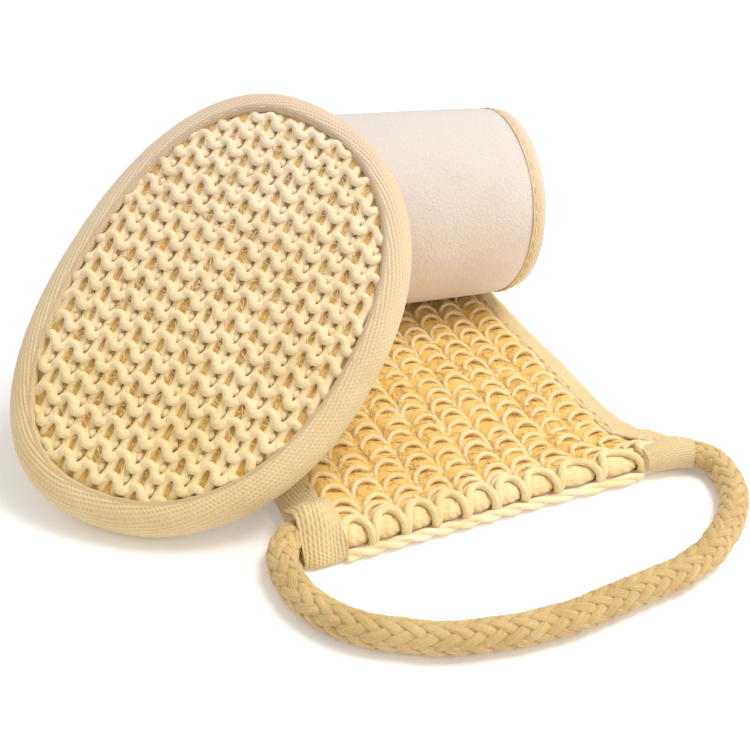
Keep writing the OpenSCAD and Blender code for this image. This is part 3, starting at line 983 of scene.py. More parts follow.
def strap_row(rng, run, reach=STRAP_REACH, crest=0.45 * MM, proud=1.1 * MM):
    line = uneven(rng, knit_line(COLUMNS + 2, COLUMN_W, reach, 0.6 * MM, 1.7 * MM, crest, proud), 0.26 * MM)
    line[:, 0] += rng.normal(0, 0.45 * MM)
    line = line[np.abs(line[:, 0]) < KNIT_HALF + 1.4 * MM]
    across = np.abs(line[:, 0])
    high = (YARN_LIFT + line[:, 2] + edge_rise(across)
            - 1.6 * MM * ease(KNIT_HALF - 0.5 * MM, KNIT_HALF + 1.2 * MM, across))
    run = run + rng.normal(0, 0.25 * MM)
    points = strap_at(line[:, 0], run + line[:, 1], high)
    outward = strap_at(line[:, 0], run + line[:, 1], high + MM) - points
    return sweep("row", points, YARN_D, YARN_D * 0.92, outward)


def make_strap_knit():
    rng = np.random.default_rng(KNIT_SEED)
    rows = [strap_row(rng, run) for run in np.arange(FIRST_ROW, FLAT_LEN + 18 * MM, ROW_H)]
    rows += [strap_row(rng, run, 3.4 * MM, 0.3 * MM, MM) for run in (6.4 * MM, 4.0 * MM)]
    innermost = np.arange(run_at(1.48), STRAP_LEN - 4 * MM, ROW_H)
    rows += [strap_row(rng, run) for run in innermost]
    return join("strap_sisal_knit", rows)


strap_knit = paint(make_strap_knit(), YARN_FINISH, "sisal_knit")
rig.ride(strap_knit, "strap")
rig.replaces(strap_knit, "strap_knit")
print("strap knit:", len(strap_knit.data.polygons), "faces")

# %% [markdown]
# ## Edge tapes
# Twill tape is folded round both long edges and sewn through. It goes 10 mm over the knit and 6 mm over
# the terry, and it winds with the strap, so it is a laid grid whose short side is the folded section,
# given a thickness afterwards. Its ridges slant across it, and the sewing puckers its inner edge.


# %% Twill material
def make_twill_material():
    # Painted light by height: the higher parts of the tape turn paler and pinker, towards 214, 194, 174.
    cloth = Cloth("twill_tape", srgb(233, 210, 160), srgb(222, 194, 138), 60.0, 1300.0, 0.8, 0.3,
                  srgb(214, 194, 174), 0.8)
    weave = cloth.group(TWILL, {"Ridges": 1050.0, "Slant": 0.11, "Cross": 760.0})
    # Painted shade in the grooves of the twill, towards 190, 158, 104.
    cloth.shade(weave.outputs["Groove"], srgb(190, 158, 104), 0.4)
    cloth.bump(weave.outputs["Height"], 0.2 * MM, 0.7)
    cloth.bump(cloth.noise(140, 2), 0.5 * MM, 0.3)
    return cloth.done()


TWILL_FINISH = make_twill_material()


# %% The two tapes
def tape_section():
    """From the inner edge on the knit, round the outside, to the inner edge on the terry."""
    round_r = STRAP_T / 2
    over = [(HALF_W - KNIT_TAPE_W + step * (KNIT_TAPE_W - round_r) / 8,
             STRAP_T - 0.7 * MM * (step == 0) - 0.2 * MM * (step == 1)) for step in range(8)]
    fold = [(HALF_W - round_r + round_r * math.sin(a), STRAP_T / 2 + round_r * math.cos(a))
            for a in np.linspace(0, math.pi, 13)]
    under = [(HALF_W - round_r - (step + 1) * (BACK_TAPE_W - round_r) / 4, 0) for step in range(4)]
    return np.array(over + fold + under)


def make_edge_tape(side):
    near_runs = strap_runs(0.3 * MM, 40 * MM, 1.0 * MM)
    runs = np.concatenate([near_runs, strap_runs(40 * MM, STRAP_LEN, 2 * MM)[1:]])[:, None]
    section = tape_section()
    x, high = section[None, :, 0], section[None, :, 1]
    share = high / STRAP_T
    pucker = 0.18 * MM * np.sin(runs * 2 * math.pi / (8 * MM)) * np.cos(x * 400)
    drop = 0.6 * MM * (1 - share) * ease(FLAT_LEN - 12 * MM, FLAT_LEN + 8 * MM, runs)
    points = strap_at(side * (x + 0.25 * MM * np.sin(runs * 130)), runs,
                      high + 0.1 * MM + pucker * share - drop)
    width = KNIT_TAPE_W + BACK_TAPE_W + 3 * MM
    piece = lay_grid("tape", points if side > 0 else points[:, ::-1], (width, STRAP_LEN))
    return thicken(piece, TAPE_T)


edge_tapes = {}
for side, word in ((-1, "left"), (1, "right")):
    tape = make_edge_tape(side)
    tape.name = tape.data.name = f"edge_tape_{word}_cloth"
    paint(tape, TWILL_FINISH, "twill_tape")
    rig.ride(tape, "strap")
    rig.replaces(tape, f"edge_tape_{word}")
    edge_tapes[word] = tape
print("edge tapes:", len(edge_tapes["left"].data.polygons), "faces each")

# %% [markdown]
# ## Sewing along the tapes
# The tape is sewn through with thick cotton thread. Each stitch is a short bowed thread that sinks into
# the cloth at both ends, so a row of stitches is one bevelled curve with a short spline for each. On
# the roll the same row shows on the terry side.

# %% Thread finish and tape stitches
STITCH_L = 2.6 * MM
STITCH_PITCH = 4 * MM
STITCH_BOW = 0.25 * MM
THREAD_D = 0.45 * MM


def make_thread_material(name, light, deep):
    cloth = Cloth(name, light, deep, 200.0, 2500.0, 0.6, 0.2)
    cloth.bump(cloth.noise(2500, 2), 0.1 * MM, 0.5)
    return cloth.done()


THREAD_FINISH = make_thread_material("cotton_thread", srgb(230, 206, 156), srgb(214, 184, 130))
TACK_FINISH = make_thread_material("tack_thread", srgb(226, 176, 132), srgb(206, 150, 108))


def stitch_lines(place, starts):
    """Short lines of five points; place(start, share, lift) gives a point of the cloth."""
    shares = np.linspace(0, 1, 5)
    return [np.array([place(start, share, STITCH_BOW * math.sin(math.pi * share)) for share in shares])
            for start in starts]


def make_tape_stitches(side):
    on_knit = side * (HALF_W - KNIT_TAPE_W + 1.5 * MM)
    on_terry = side * (HALF_W - BACK_TAPE_W + 1.3 * MM)

    def over(start, share, lift):
        return strap_at(on_knit, start + share * STITCH_L, STRAP_T - 0.1 * MM + lift)

    def under(start, share, lift):
        return strap_at(on_terry, start + share * STITCH_L, -0.42 * MM - 0.6 * lift)

    lines = stitch_lines(over, np.arange(20 * MM, FLAT_LEN + 14 * MM, STITCH_PITCH))
    lines += stitch_lines(under, np.arange(FLAT_LEN + 12 * MM, run_at(1.03), STITCH_PITCH))
    return threads("stitches", lines, THREAD_D)


for side, word in ((-1, "left"), (1, "right")):
    stitches = make_tape_stitches(side)
    stitches.name = stitches.data.name = f"edge_stitches_{word}_thread"
    paint(stitches, THREAD_FINISH, "thread")
    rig.ride(stitches, "strap")
    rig.replaces(stitches, f"edge_stitches_{word}")
print("tape stitches sewn")

# %% [markdown]
# ## Near edge
# The knit ends in a row of large loops that hold the folded edge of the cloth, so each loop has a soft
# pillow of cloth in it. Under the loops runs a crochet chain of smooth cord. The pillows are one laid
# grid whose section bulges once for each column, and the loops are one more row of knitting, bent down.

# %% Pillows of the near edge
CHAIN_D = 1.7 * MM


def edge_bulge(x):
    column = (x / COLUMN_W + COLUMNS / 2) % 1 - 0.5
    return np.clip(1 - (2 * column) ** 2, 0, 1) ** 0.6


def edge_at(x, turn, out=0.0):
    """Points on the rounded near edge: turn 0 is on top and a half turn is underneath."""
    bulge = edge_bulge(x)
    run = 4.6 * MM - (2.3 * MM + 1.8 * MM * bulge + out) * np.sin(turn)
    high = 3.5 * MM + (1.7 * MM + 1.3 * MM * bulge + out) * np.cos(turn)
    return strap_at(x, run, np.maximum(high, 1.0 * MM))


def make_edge_pillows():
    x = np.linspace(KNIT_HALF + 5 * MM, -KNIT_HALF - 5 * MM, 241)[None]
    turn = np.linspace(math.radians(-35), math.radians(200), 26)[:, None]
    crumple = 0.22 * MM * np.sin(x * 2400 + 4 * np.sin(2 * turn)) * np.sin(3 * turn)
    shell = lay_grid("edge_pillows", edge_at(x, turn, crumple), (2 * KNIT_HALF, 15 * MM))
    return thicken(shell, 0.5 * MM)


def make_end_loops():
    rng = np.random.default_rng(KNIT_SEED + 1)
    line = uneven(rng, knit_line(COLUMNS, COLUMN_W, 1, 0.35 * MM, 1.9 * MM, 0, 0), 0.12 * MM)
    head = np.cos(np.linspace(-math.pi * COLUMNS, math.pi * COLUMNS, len(line)) + math.pi)
    turn = math.radians(68) - math.radians(84) * head
    out = 0.8 * MM + 1.1 * MM * (1 - edge_bulge(line[:, 0]))
    points = edge_at(line[:, 0], turn, out)
    outward = edge_at(line[:, 0], turn, out + MM) - points
    loops = sweep("end_loops", points, 2.3 * MM, 2.0 * MM, outward, 10)
    return join("end_loop_yarn", [make_edge_pillows(), loops])


end_loops = paint(make_end_loops(), YARN_FINISH, "sisal_knit")
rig.ride(end_loops, "strap")
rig.replaces(end_loops, "end_loops")


# %% Chain cord
def make_chain_material():
    cloth = Cloth("chain_cord", srgb(252, 236, 202), srgb(242, 214, 158), 120.0, 1500.0, 0.55, 0.2)
    streaks = cloth.group(FIBRES, {"Around": 8.0, "Along": 90.0, "Twist": 30.0})
    cloth.bump(streaks.outputs["Height"], 0.15 * MM, 0.5)
    return cloth.done()


def make_edge_chain():
    x = np.linspace(-KNIT_HALF + 0.5 * MM, KNIT_HALF - 9 * MM, 300)
    strands = []
    for first in (0, math.pi):
        wave = 2 * math.pi * x / (2 * 7 * MM) + first
        points = strap_at(x, -0.9 * MM - 0.8 * MM * np.sin(wave), 1.5 * MM + 0.6 * MM * np.cos(wave))
        strands.append(sweep("chain", points, CHAIN_D * 1.15, CHAIN_D * 0.9, (0, 0, 1)))
    return join("edge_chain_cord", strands)


edge_chain = paint(make_edge_chain(), make_chain_material(), "chain_yarn")
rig.ride(edge_chain, "strap")
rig.replaces(edge_chain, "edge_chain")
print("near edge:", len(end_loops.data.polygons), "and", len(edge_chain.data.polygons), "faces")

# %% [markdown]
# ## Corner pockets
# At both near corners the tape is folded down over the front and holds one end of the rope. On the left
# the rope slips out from under the tape. On the right the tape runs on as a sleeve round the first of
# the rope, so that piece bends a little when the handle is lifted. A zigzag bar of thread locks each.

# %% Corner caps
CAP_SECTION = [(15, 7.2), (11, 7.5), (8, 7.5), (5, 7.4), (2.6, 7.2), (0.8, 6.6), (-0.4, 5.2),
               (-0.9, 3.4), (-0.7, 1.8), (0.3, 0.5), (2, 0.1), (5, 0.1)]


def corner_cap(side):
    section = smooth_line([(0, run * MM, high * MM) for run, high in CAP_SECTION], 4)
    inner = KNIT_HALF - 1.2 * MM
    x = np.linspace(inner, HALF_W + 0.1 * MM, 16)
    crease = 0.35 * MM * np.sin(x[None] * 900 + section[:, 1, None] * 300)
    round_off = 1.6 * MM * ease(HALF_W - 3 * MM, HALF_W, x)[None]
    high = section[:, 2, None] + crease * 0.4 - round_off * (section[:, 2, None] / STRAP_T - 0.4)
    points = strap_at(side * x[None], section[:, 1, None] + round_off * 0.6, high)
    piece = lay_grid("cap", points if side > 0 else points[:, ::-1], (KNIT_TAPE_W, 22 * MM))
    return thicken(piece, 0.7 * MM)


def right_sleeve():
    line = resample(near_line[::-1][1:19], 24)
    run = np.linspace(0, 1, len(line))
    wide = (3.7 + 1.0 * ease(0, 0.5, run)) * MM
    high = (3.2 + 1.2 * ease(0, 0.6, run)) * MM
    wide[0] = high[0] = 0.2 * MM
    tangent = unit(np.gradient(line, axis=0))
    side = unit(np.cross(tangent, (0, 0, 1)))
    up = np.cross(side, tangent)
    turn = np.linspace(0, 2 * math.pi, 37)
    ripple = 1 + 0.02 * np.sin(run * 60)[:, None] * np.sin(turn * 3)[None]
    points = line[:, None] + ((side * wide[:, None])[:, None] * (np.cos(turn) * ripple)[..., None]
                              - (up * high[:, None])[:, None] * (np.sin(turn) * ripple)[..., None])
    return thicken(weld(lay_grid("sleeve", points, (38 * MM, 22 * MM))), 0.6 * MM)


pocket_left = paint(corner_cap(-1), TWILL_FINISH, "twill_tape")
pocket_left.name = pocket_left.data.name = "corner_pocket_left_cloth"
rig.ride(pocket_left, "strap")
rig.replaces(pocket_left, "corner_pocket_left")
pocket_right = join("corner_pocket_right_cloth", [corner_cap(1), right_sleeve()])
paint(pocket_right, TWILL_FINISH, "twill_tape")
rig.blend(pocket_right, "strap", "near_handle", start=(60 * MM, HINGE_Y, HINGE_Z),
         end=(69 * MM, HINGE_Y, HINGE_Z))
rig.replaces(pocket_right, "corner_pocket_right")
print("corner pockets made")


# %% Zigzag bars
def make_corner_tack(side):
    corners = 34
    x = np.linspace(KNIT_HALF + 1.2 * MM, HALF_W - 2.2 * MM, corners)
    low = np.arange(corners) % 2 == 1
    points = strap_at(side * x, np.where(low, -1.15, -1.45) * MM, np.where(low, 1.0, 3.6) * MM)
    return threads("tack", [points], 0.4 * MM)


for side, word, finish in ((-1, "left", TACK_FINISH), (1, "right", THREAD_FINISH)):
    tack = make_corner_tack(side)
    tack.name = tack.data.name = f"corner_tack_{word}_thread"
    paint(tack, finish, "thread")
    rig.ride(tack, "strap")
    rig.replaces(tack, f"corner_tack_{word}")
print("corner tacks sewn")

# %% [markdown]
# ## Far end, inside the roll
# The strap's far end has a folded hem of tape and a second rope handle. The handle is rolled up with the
# strap: it leaves the hem on both sides, coils nearly one and a half times about the middle and crosses over.

# %% Far hem, rope and sleeves
CORE_R = 12 * MM
HEM_TURN = math.radians(24)
HEM_R = 0.41 * MID_R
FAR_GAP_TURN = math.radians(8)
FAR_TURNS = math.radians(500)
FAR_POINTS = 600
FAR_X = HALF_W - ROPE_D / 2 - 1 * MM
FAR_START = 2 * math.pi * ROLL_TURNS + HEM_TURN + FAR_GAP_TURN
FAR_START_R = CORE_R + PITCH * (1 - (HEM_TURN + FAR_GAP_TURN) / (2 * math.pi)) - ROPE_D / 2 - 1.3 * MM
FAR_COIL_R = CORE_R - ROPE_D / 2 - 0.5 * MM


def far_rope_line():
    share = np.sin(np.linspace(-math.pi / 2, math.pi / 2, FAR_POINTS))
    taken = FAR_TURNS * (1 - share**2)
    angle = FAR_START + taken
    radius = FAR_COIL_R + (FAR_START_R - FAR_COIL_R) * np.exp(-(taken / math.radians(150)) ** 2)
    return np.stack([share * FAR_X, ROLL_Y + radius * np.sin(angle), ROLL_R - radius * np.cos(angle)], 1)


def far_sleeve(line):
    tangent = unit(np.gradient(line, axis=0))
    out = line - np.array([0, ROLL_Y, ROLL_R])
    side = unit(np.cross(tangent, out * (0, 1, 1)))
    up = np.cross(side, tangent)
    turn = np.linspace(0, 2 * math.pi, 25)[None, :, None]
    radius = ROPE_D / 2 + 0.8 * MM
    points = line[:, None] + radius * (side[:, None] * np.cos(turn) - up[:, None] * np.sin(turn))
    return thicken(weld(lay_grid("sleeve", points, (36 * MM, 20 * MM))), 0.6 * MM)


hem_runs = np.linspace(STRAP_LEN - 0.8 * MM, STRAP_LEN + HEM_R * HEM_TURN, 8)
far_hem = slab("far_hem_tape", HALF_W, hem_runs, 0.1 * MM, STRAP_T)
paint(far_hem, TWILL_FINISH, "twill_tape")
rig.ride(far_hem, "strap")
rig.replaces(far_hem, "far_hem")
far_line = far_rope_line()
far_rope, _, far_length = braid("far_rope_braid", far_line, (0, 1, 0), 1.6 * MM)
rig.ride(far_rope, "strap")
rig.replaces(far_rope, "far_rope")
for part, word in ((slice(8, 130), "left"), (slice(-130, -8), "right")):
    sleeve = paint(far_sleeve(resample(far_line[part], 16)), TWILL_FINISH, "twill_tape")
    sleeve.name = sleeve.data.name = f"far_sleeve_{word}_cloth"
    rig.ride(sleeve, "strap")
    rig.replaces(sleeve, f"far_sleeve_{word}")
print("far rope:", round(far_length * 1000), "mm")

# %% [markdown]
# ## The pad's own frame
# The pad is made in its own axes, X across its shorter width, Y along it and Z out of the knit, and then
# turned to lean on the roll. Its outline is an ellipse made slightly squarer and narrower on one side.

# %% Outline and placing of the pad
PAD_HALF_W, PAD_HALF_L, PAD_T = 46 * MM, 65 * MM, 13 * MM
PAD_R = PAD_T / 2
PAD_SQUARE = 2.25
PAD_TAPER = 0.09
PAD_TAPE_W = 8 * MM
PAD_TURN = Euler([math.radians(angle) for angle in (38, 10, -44.5)]).to_matrix()
HAND_T = 1.5 * MM
HAND_Z = -PAD_R - 0.2 * MM - HAND_T


def pad_centre():
    low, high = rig.box("hand_strap")
    return (low + high) / 2 - PAD_TURN @ Vector((0, 0, HAND_Z + HAND_T / 2))


PAD_AT = np.array(pad_centre())
PAD_AXES = np.array(PAD_TURN)


def on_pad(x, y, z):
    """Points of the pad's own frame, placed in the scene."""
    local = np.stack(np.broadcast_arrays(*(np.asarray(value, float) for value in (x, y, z))), axis=-1)
    return local @ PAD_AXES.T + PAD_AT


def oval(angle, inset=0.0):
    wide, long = PAD_HALF_W - inset, PAD_HALF_L - inset
    power = 2 / PAD_SQUARE
    x = wide * np.sign(np.cos(angle)) * np.abs(np.cos(angle)) ** power
    y = long * (1 - PAD_TAPER * x / wide) * np.sign(np.sin(angle)) * np.abs(np.sin(angle)) ** power
    return x, y


def inside_share(x, y, inset=0.0):
    """0 in the middle of the oval and 1 on its outline."""
    wide, long = PAD_HALF_W - inset, PAD_HALF_L - inset
    taper = np.clip(1 - PAD_TAPER * x / wide, 0.5, 1.5)
    return (np.abs(x / wide) ** PAD_SQUARE + np.abs(y / long / taper) ** PAD_SQUARE) ** (1 / PAD_SQUARE)


def even_angles(count):
    """Angles that space points evenly along the outline."""
    fine = np.linspace(0, 2 * math.pi, 2881)
    x, y = oval(fine)
    run = np.concatenate([[0], np.cumsum(np.hypot(np.diff(x), np.diff(y)))])
    return np.interp(np.linspace(0, run[-1], count), run, fine), run[-1]


print("pad centre:", PAD_AT.round(4), "outline:", round(even_angles(10)[1], 4))

# %% [markdown]
# ## Layers of the pad
# Terry, foam and lining are oval cloths, laid as rings that shrink to the middle. The lining domes over
# the foam and dives at its rim under the tape, and it puffs up in every stitch as the strap's does.

# %% Pad terry, foam and lining
PAD_COLUMN_W = 6.84 * MM
PAD_ROW_H = 6.31 * MM
PAD_DOME = 1.4 * MM
PAD_LINING_TOP = PAD_R - KNIT_T
PAD_REACH = 4.35 * MM
PAD_LINING_INSET = 3 * MM
PAD_TERRY_INSET = 4.5 * MM


def disc(name, height, inset, rings=60, around=200):
    """An oval cloth whose height is a function of x and y."""
    angles, _ = even_angles(around + 1)
    x, y = oval(angles, inset)
    share = np.linspace(1, 0, rings)[:, None]
    x, y = x[None] * share, y[None] * share
    piece = lay_grid(name, on_pad(x, y, height(x, y)), (1, 1))
    layer = piece.data.uv_layers.active.data
    local = (np.array([piece.data.vertices[loop.vertex_index].co for loop in piece.data.loops])
             - PAD_AT) @ PAD_AXES
    layer.foreach_set("uv", local[:, :2].astype(np.float32).ravel())
    return weld(piece)


def point_along(piece, direction):
    """Turns the whole cloth over if its faces don't look along direction."""
    total = Vector((0, 0, 0))
    for face in piece.data.polygons:
        total += face.normal * face.area
    if total.dot(Vector(direction)) < 0:
        piece.data.flip_normals()
    return piece


def dome(x, y):
    return PAD_DOME * (1 - np.clip(inside_share(x, y, PAD_TAPE_W - 1 * MM), 0, 1) ** 2.5)


def under_tape(x, y):
    """1 where the knit has dived under the tape, 0 further in."""
    return ease(0.955, 1.03, inside_share(x, y, PAD_TAPE_W))


def pad_lining_height(x, y):
    column = (x / PAD_COLUMN_W + 0.5) % 1 - 0.5
    row = (y / PAD_ROW_H + 0.21) % 1 - 0.5
    puff = np.clip(1 - (2.2 * column) ** 2, 0, 1) * np.clip(1 - (1.9 * row) ** 2, 0, 1)
    return PAD_LINING_TOP + dome(x, y) + 0.5 * MM * np.sqrt(puff) - 0.2 * MM * under_tape(x, y)


PAD_NORMAL = PAD_AXES[:, 2]
pad_lining = point_along(disc("pad_fibre_lining", pad_lining_height, PAD_LINING_INSET, 150, 320),
                         PAD_NORMAL)
paint(thicken(pad_lining, LINING_T - 0.1 * MM), PAD_LINING_SHADED_FINISH, "fibre_lining")


def pad_terry_height(x, y):
    return -PAD_R + 0.2 * MM - 0.5 * dome(x, y) + 0.6 * MM * under_tape(x, y)


pad_terry = disc("pad_terry_cloth", pad_terry_height, PAD_TERRY_INSET)
paint(thicken(point_along(pad_terry, -PAD_NORMAL), TERRY_T), TERRY_FINISH, "terry")


def make_pad_foam():
    turn = np.linspace(math.pi / 2, -math.pi / 2, 15)
    angles, _ = even_angles(161)
    inset = 5 * MM - 3.4 * MM * np.cos(turn)
    rim = [oval(angles, value) for value in inset]
    x, y = (np.stack([pair[axis] for pair in rim]) for axis in (0, 1))
    z = -0.6 * MM + 3.9 * MM * np.sin(turn)[:, None] + 0 * x
    shares = np.linspace(0, 1, 16)[:-1, None]
    top = (x[:1] * shares, y[:1] * shares)
    top_z = z[0, 0] + 0.6 * dome(*top)
    low_z = z[-1, 0] - 0.3 * dome(*top)
    rows = [np.concatenate([top[0], x, top[0][::-1]]), np.concatenate([top[1], y, top[1][::-1]]),
            np.concatenate([top_z, z, low_z[::-1]])]
    return weld(lay_grid("pad_foam_core", on_pad(*rows)))


pad_foam = paint(make_pad_foam(), FOAM_FINISH, "foam")
for piece, cad_node in ((pad_lining, "pad_lining"), (pad_terry, "pad_terry"), (pad_foam, "pad_foam")):
    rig.ride(piece, "pad")
    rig.replaces(piece, cad_node)
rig.padded(pad_foam, fill=0.7)
print("pad layers:", len(pad_lining.data.polygons), len(pad_terry.data.polygons), len(pad_foam.data.polygons))

# %% [markdown]
# ## Knit of the pad
# The same knit as on the strap, in thicker yarn, with its rows across the pad. Each row is cut
# to the oval, a little under the tape, and the strand dives there.

# %% Rows of the pad
PAD_COLUMNS = 15
PAD_YARN_D = 2.55 * MM
PAD_LEG_W = 2.1 * MM


def pad_height(x, y, lift):
    dive = 1.9 * MM * ease(0.97, 1.03, inside_share(x, y, PAD_TAPE_W))
    return PAD_LINING_TOP + dome(x, y) + lift - dive


def pad_row(rng, y0):
    """One row across the pad: thin over its heads, and thick where it hooks round the row below."""
    plain = knit_line(PAD_COLUMNS, PAD_COLUMN_W, PAD_REACH, 0.66 * MM, 0.1 * MM, 0.7 * MM, 0)
    line = uneven(rng, plain, 0.16 * MM)
    width = PAD_YARN_D * (1 - 0.08 * plain[:, 1] / PAD_REACH)
    x, y = line[:, 0], y0 + line[:, 1]
    inside = inside_share(x, y, PAD_TAPE_W) < 1.05
    pieces = np.split(np.arange(len(x)), np.flatnonzero(np.diff(inside.astype(int))) + 1)
    strands = []
    for part in pieces:
        if len(part) < 6 or not inside[part[0]]:
            continue
        px, py = x[part], y[part]
        points = on_pad(px, py, pad_height(px, py, 0.75 * MM + line[part, 2]))
        strands.append(sweep("row", points, width[part], PAD_YARN_D * 0.9, PAD_NORMAL))
    return strands


def pad_legs(rng, y0):
    """The short uprights that show between two hooks of the knit."""
    legs = []
    for column in np.arange(-PAD_COLUMNS / 2, PAD_COLUMNS / 2 + 0.5) * PAD_COLUMN_W:
        x = column + rng.normal(0, 0.2 * MM) - 0.4 * MM
        y = y0 - 1.2 * MM + np.linspace(-1.5, 1.5, 6) * MM
        if inside_share(x, y[3], PAD_TAPE_W) < 0.97:
            bow = 0.5 * MM * np.cos(np.linspace(-1.5, 1.5, 6)) + 0.05 * MM
            points = on_pad(x + np.zeros(6), y, pad_height(x, y, bow))
            legs.append(sweep("leg", points, PAD_LEG_W * rng.uniform(0.8, 1.1), 1.5 * MM, PAD_NORMAL, 6))
    return legs


def make_pad_knit():
    rng = np.random.default_rng(KNIT_SEED + 2)
    count = int(PAD_HALF_L / PAD_ROW_H)
    rows = []
    for row in range(-count, count + 1):
        rows += pad_row(rng, row * PAD_ROW_H) + pad_legs(rng, row * PAD_ROW_H)
    return join("pad_sisal_knit", rows)


pad_knit = paint(make_pad_knit(), YARN_FINISH, "sisal_knit")
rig.ride(pad_knit, "pad")
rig.replaces(pad_knit, "pad_knit")
print("pad knit:", len(pad_knit.data.polygons), "faces")

# %% [markdown]
# ## Tape and sewing of the pad
# One tape is folded round the whole oval. Because it goes round a curve it puckers a little on its
# inner edge, where the stitches hold it. The section is swept round the outline and closed on itself.

# %% Pad tape
def make_pad_tape():
    angles, outline = even_angles(321)
    fold = np.linspace(math.pi / 2, -math.pi / 2, 17)
    face = np.linspace(PAD_TAPE_W, PAD_R, 6)[:-1]
    inset = np.concatenate([face, PAD_R - PAD_R * np.cos(fold), face[::-1]])
    dip = np.array([1.5, 0.55, 0.15, 0, 0]) * MM
    high = np.concatenate([PAD_R - dip, PAD_R * np.sin(fold), dip[::-1] * 0.6 - PAD_R])
    run = np.linspace(0, outline, len(angles))[:, None]
    grip = np.concatenate([np.linspace(1, 0.2, 5), 0.12 * np.ones(17), np.linspace(0.2, 1, 5)])[None]
    pucker = 0.16 * MM * grip * (np.sin(run * 2 * math.pi / (outline / 52)) + np.sin(run * 610 + 1))
    sink = 0.35 * MM * np.clip(grip - 0.75, 0, 1) * 4
    x, y = oval(angles)
    step = np.stack([np.gradient(x), np.gradient(y)], 1)
    step[[0, -1]] = step[1] + step[-2]
    step = unit(step)
    inward_x, inward_y = -step[:, 1:], step[:, :1]
    z = high[None] + (pucker - sink) * np.sign(high)[None]
    points = on_pad(x[:, None] + inward_x * inset[None], y[:, None] + inward_y * inset[None], z)
    piece = lay_grid("pad_tape_cloth", points, (2 * PAD_TAPE_W + 12 * MM, outline))
    return thicken(point_outwards(weld(piece)), TAPE_T)


def point_outwards(piece):
    """Turns an open shell round so that its faces look away from the middle of the pad."""
    total = 0.0
    middle = Vector(PAD_AT)
    for face in piece.data.polygons:
        total += face.normal.dot(face.center - middle) * face.area
    if total < 0:
        piece.data.flip_normals()
    return piece


pad_tape = paint(make_pad_tape(), TWILL_FINISH, "twill_tape")
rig.ride(pad_tape, "pad")
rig.replaces(pad_tape, "pad_tape")


# %% Pad stitches
def make_pad_stitches():
    angles, _ = even_angles(801)
    x, y = oval(angles, PAD_TAPE_W - 1.2 * MM)
    run = np.concatenate([[0], np.cumsum(np.hypot(np.diff(x), np.diff(y)))])

    def place(start, share, lift):
        at = start + share * STITCH_L
        return on_pad(np.interp(at, run, x), np.interp(at, run, y), PAD_R - 0.45 * MM + lift)

    count = int(run[-1] / STITCH_PITCH)
    return threads("pad_stitches_thread", stitch_lines(place, np.arange(count) * run[-1] / count), THREAD_D)


pad_stitches = paint(make_pad_stitches(), THREAD_FINISH, "thread")
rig.ride(pad_stitches, "pad")
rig.replaces(pad_stitches, "pad_stitches")
print("pad tape:", len(pad_tape.data.polygons), "faces")

# %% [markdown]
# ## Hand strap
# A wide cotton webbing crosses the pad's back, and the hand slips under it. Both ends are sewn down with
# a zigzag bar. It is a laid grid with a thickness, bowed a little where the hand goes.

# %% Webbing and its bars
HAND_HALF = PAD_HALF_W - PAD_R
HAND_HALF_W = 17 * MM
BAR_CORNERS = 41


def make_webbing_material():
    cloth = Cloth("webbing", srgb(240, 231, 212), srgb(226, 214, 190), 60.0, 1200.0, 0.8, 0.3)
    weave = cloth.group(TWILL, {"Ridges": 700.0, "Slant": 0.0, "Cross": 900.0})
    # Painted shade in the grooves of the weave, towards 190, 172, 140.
    cloth.shade(weave.outputs["Groove"], srgb(190, 172, 140), 0.4)
    cloth.bump(weave.outputs["Height"], 0.3 * MM, 0.8)
    return cloth.done()


def make_hand_strap():
    x = np.linspace(-HAND_HALF, HAND_HALF, 61)[:, None]
    y = np.linspace(-HAND_HALF_W, HAND_HALF_W, 25)[None]
    bow = 1.6 * MM * ease(HAND_HALF, HAND_HALF * 0.55, np.abs(x))
    z = HAND_Z - bow + 0.12 * MM * np.sin(x * 300 + y * 90)
    piece = lay_grid("hand_strap_webbing", on_pad(x, y, z), (2 * HAND_HALF_W, 2 * HAND_HALF))
    return thicken(point_along(piece, -PAD_NORMAL), HAND_T - 0.1 * MM)


hand_strap = paint(make_hand_strap(), make_webbing_material(), "webbing")
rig.ride(hand_strap, "pad")
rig.replaces(hand_strap, "hand_strap")
for side, word in ((-1, "left"), (1, "right")):
    y = np.linspace(-HAND_HALF_W + 1.5 * MM, HAND_HALF_W - 1.5 * MM, BAR_CORNERS)
    x = side * (HAND_HALF - 4 * MM) + np.where(np.arange(BAR_CORNERS) % 2, 2.2, -2.2) * MM
    bars = threads("bars", [on_pad(x, y, HAND_Z - 0.25 * MM)], 0.45 * MM)
    bars.name = bars.data.name = f"hand_tack_{word}_thread"
    paint(bars, THREAD_FINISH, "thread")
    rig.ride(bars, "pad")
    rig.replaces(bars, f"hand_tack_{word}")
print("hand strap sewn on")

# %% [markdown]
# ## Stray fibres
# Sisal is stiff, and some of its fibres spring out of the knit. Short, straight, very fine threads lie at
# all angles in the stitches of both knits, and a few longer ones cross the pad's.

# %% Fibres
FIBRE_D = 0.22 * MM


def loose_fibres(rng, count, place, half_w, half_l, keep, longest):
    lines = []
    while len(lines) < count:
        x, y, turn = rng.uniform(-half_w, half_w), rng.uniform(-half_l, half_l), rng.uniform(0, math.pi)
        reach = longest * rng.uniform(0.35, 1) / 2
        share = np.array([-1, -0.35, 0.35, 1])
        px, py = x + share * reach * math.cos(turn), y + share * reach * math.sin(turn)
        lift = rng.uniform(0, 0.5 * MM) + 0.35 * MM * (1 - share**2) + rng.uniform(-0.25, 0.25) * MM * share
        if keep(px, py):
            lines.append(place(px, py, lift))
    return lines


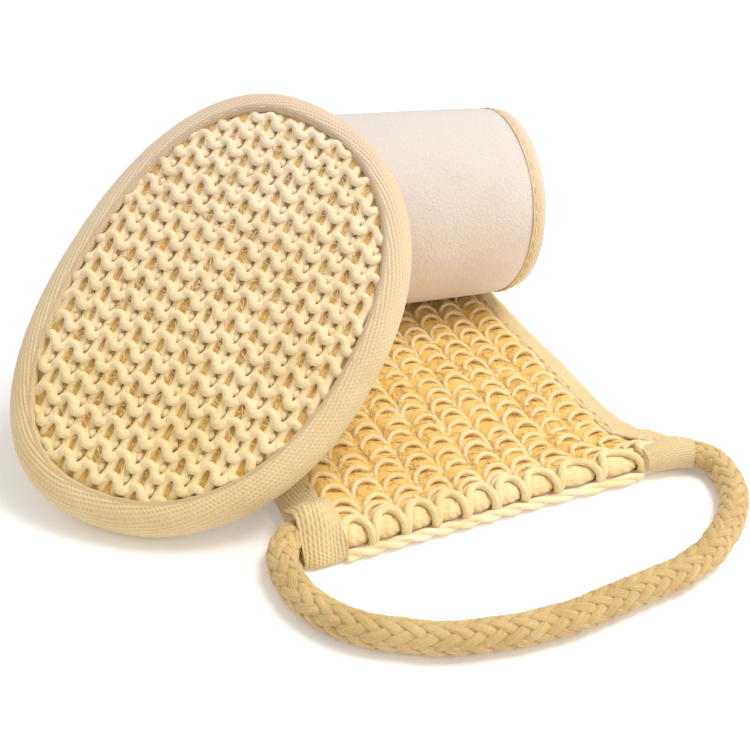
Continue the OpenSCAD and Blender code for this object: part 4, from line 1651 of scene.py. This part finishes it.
def strap_fibres():
    rng = np.random.default_rng(KNIT_SEED + 3)
    middle = FLAT_LEN / 2 + 4 * MM

    def place(x, y, lift):
        run = middle + y
        return strap_at(x, run, LINING_TOP + puff_height(x, run) + lift)

    half_l = FLAT_LEN / 2 - 4 * MM
    lines = loose_fibres(rng, 1500, place, KNIT_HALF - 3 * MM, half_l, lambda x, y: True, 5 * MM)
    return threads("strap_fibres", lines, FIBRE_D)


def pad_fibres():
    rng = np.random.default_rng(KNIT_SEED + 4)

    def inner(x, y):
        return np.all(inside_share(x, y, PAD_TAPE_W + 1.5 * MM) < 0.97)

    def place(x, y, lift):
        return on_pad(x, y, pad_lining_height(x, y) + 0.2 * MM + lift)

    lines = loose_fibres(rng, 1700, place, PAD_HALF_W, PAD_HALF_L, inner, 4.5 * MM)
    lines += loose_fibres(rng, 14, lambda x, y, lift: on_pad(x, y, PAD_R + dome(x, y) + 0.9 * MM + lift),
                          PAD_HALF_W, PAD_HALF_L, inner, 12 * MM)
    return threads("pad_fibres", lines, FIBRE_D)


def make_loose_fibre_material():
    cloth = Cloth("loose_fibre", srgb(247, 220, 150), srgb(216, 172, 92), 900.0, 2500.0, 0.6, 0.1)
    return cloth.done()


FIBRE_FINISH = make_loose_fibre_material()
strap_loose = paint(strap_fibres(), FIBRE_FINISH, "fibre_lining")
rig.ride(strap_loose, "strap")
pad_loose = paint(pad_fibres(), FIBRE_FINISH, "fibre_lining")
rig.ride(pad_loose, "pad")
print("loose fibres:", len(strap_loose.data.polygons), "and", len(pad_loose.data.polygons), "faces")

# What is sewn to a cloth goes with it.

# %% Sheets
OVAL_AREA = 0.8

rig.sheet(strap_terry, flat=(2 * LAYER_HALF, STRAP_LEN), held="folded", rests_on=["floor"],
         with_pieces=[*edge_tapes.values(), far_hem])
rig.sheet(strap_lining, flat=(2 * LAYER_HALF, STRAP_LEN), held="folded", rests_on=[strap_foam],
         with_pieces=[strap_knit, strap_loose])
for oval_cloth, inset in ((pad_terry, PAD_TERRY_INSET), (pad_lining, PAD_LINING_INSET)):
    cut_w, cut_l = 2 * (PAD_HALF_W - inset), 2 * (PAD_HALF_L - inset)
    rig.sheet(oval_cloth, flat=(cut_w, cut_l), held="stretched", rests_on=[pad_foam],
             area=OVAL_AREA * cut_w * cut_l)
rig.sheet(hand_strap, flat=(2 * HAND_HALF_W, 2 * HAND_HALF), held="stretched", rests_on=[pad_terry])
print("sheets declared")

# %% [markdown]
# ## Sizes
# The box of the CAD and the box of what is seen are written side by side, so that they can be compared.

# %% Write the sizes and finish
json.dump({"cad": cad_box, "visual": [list(corner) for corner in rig.bounds()]},
          open("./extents.json", "w"))
print("sizes written")
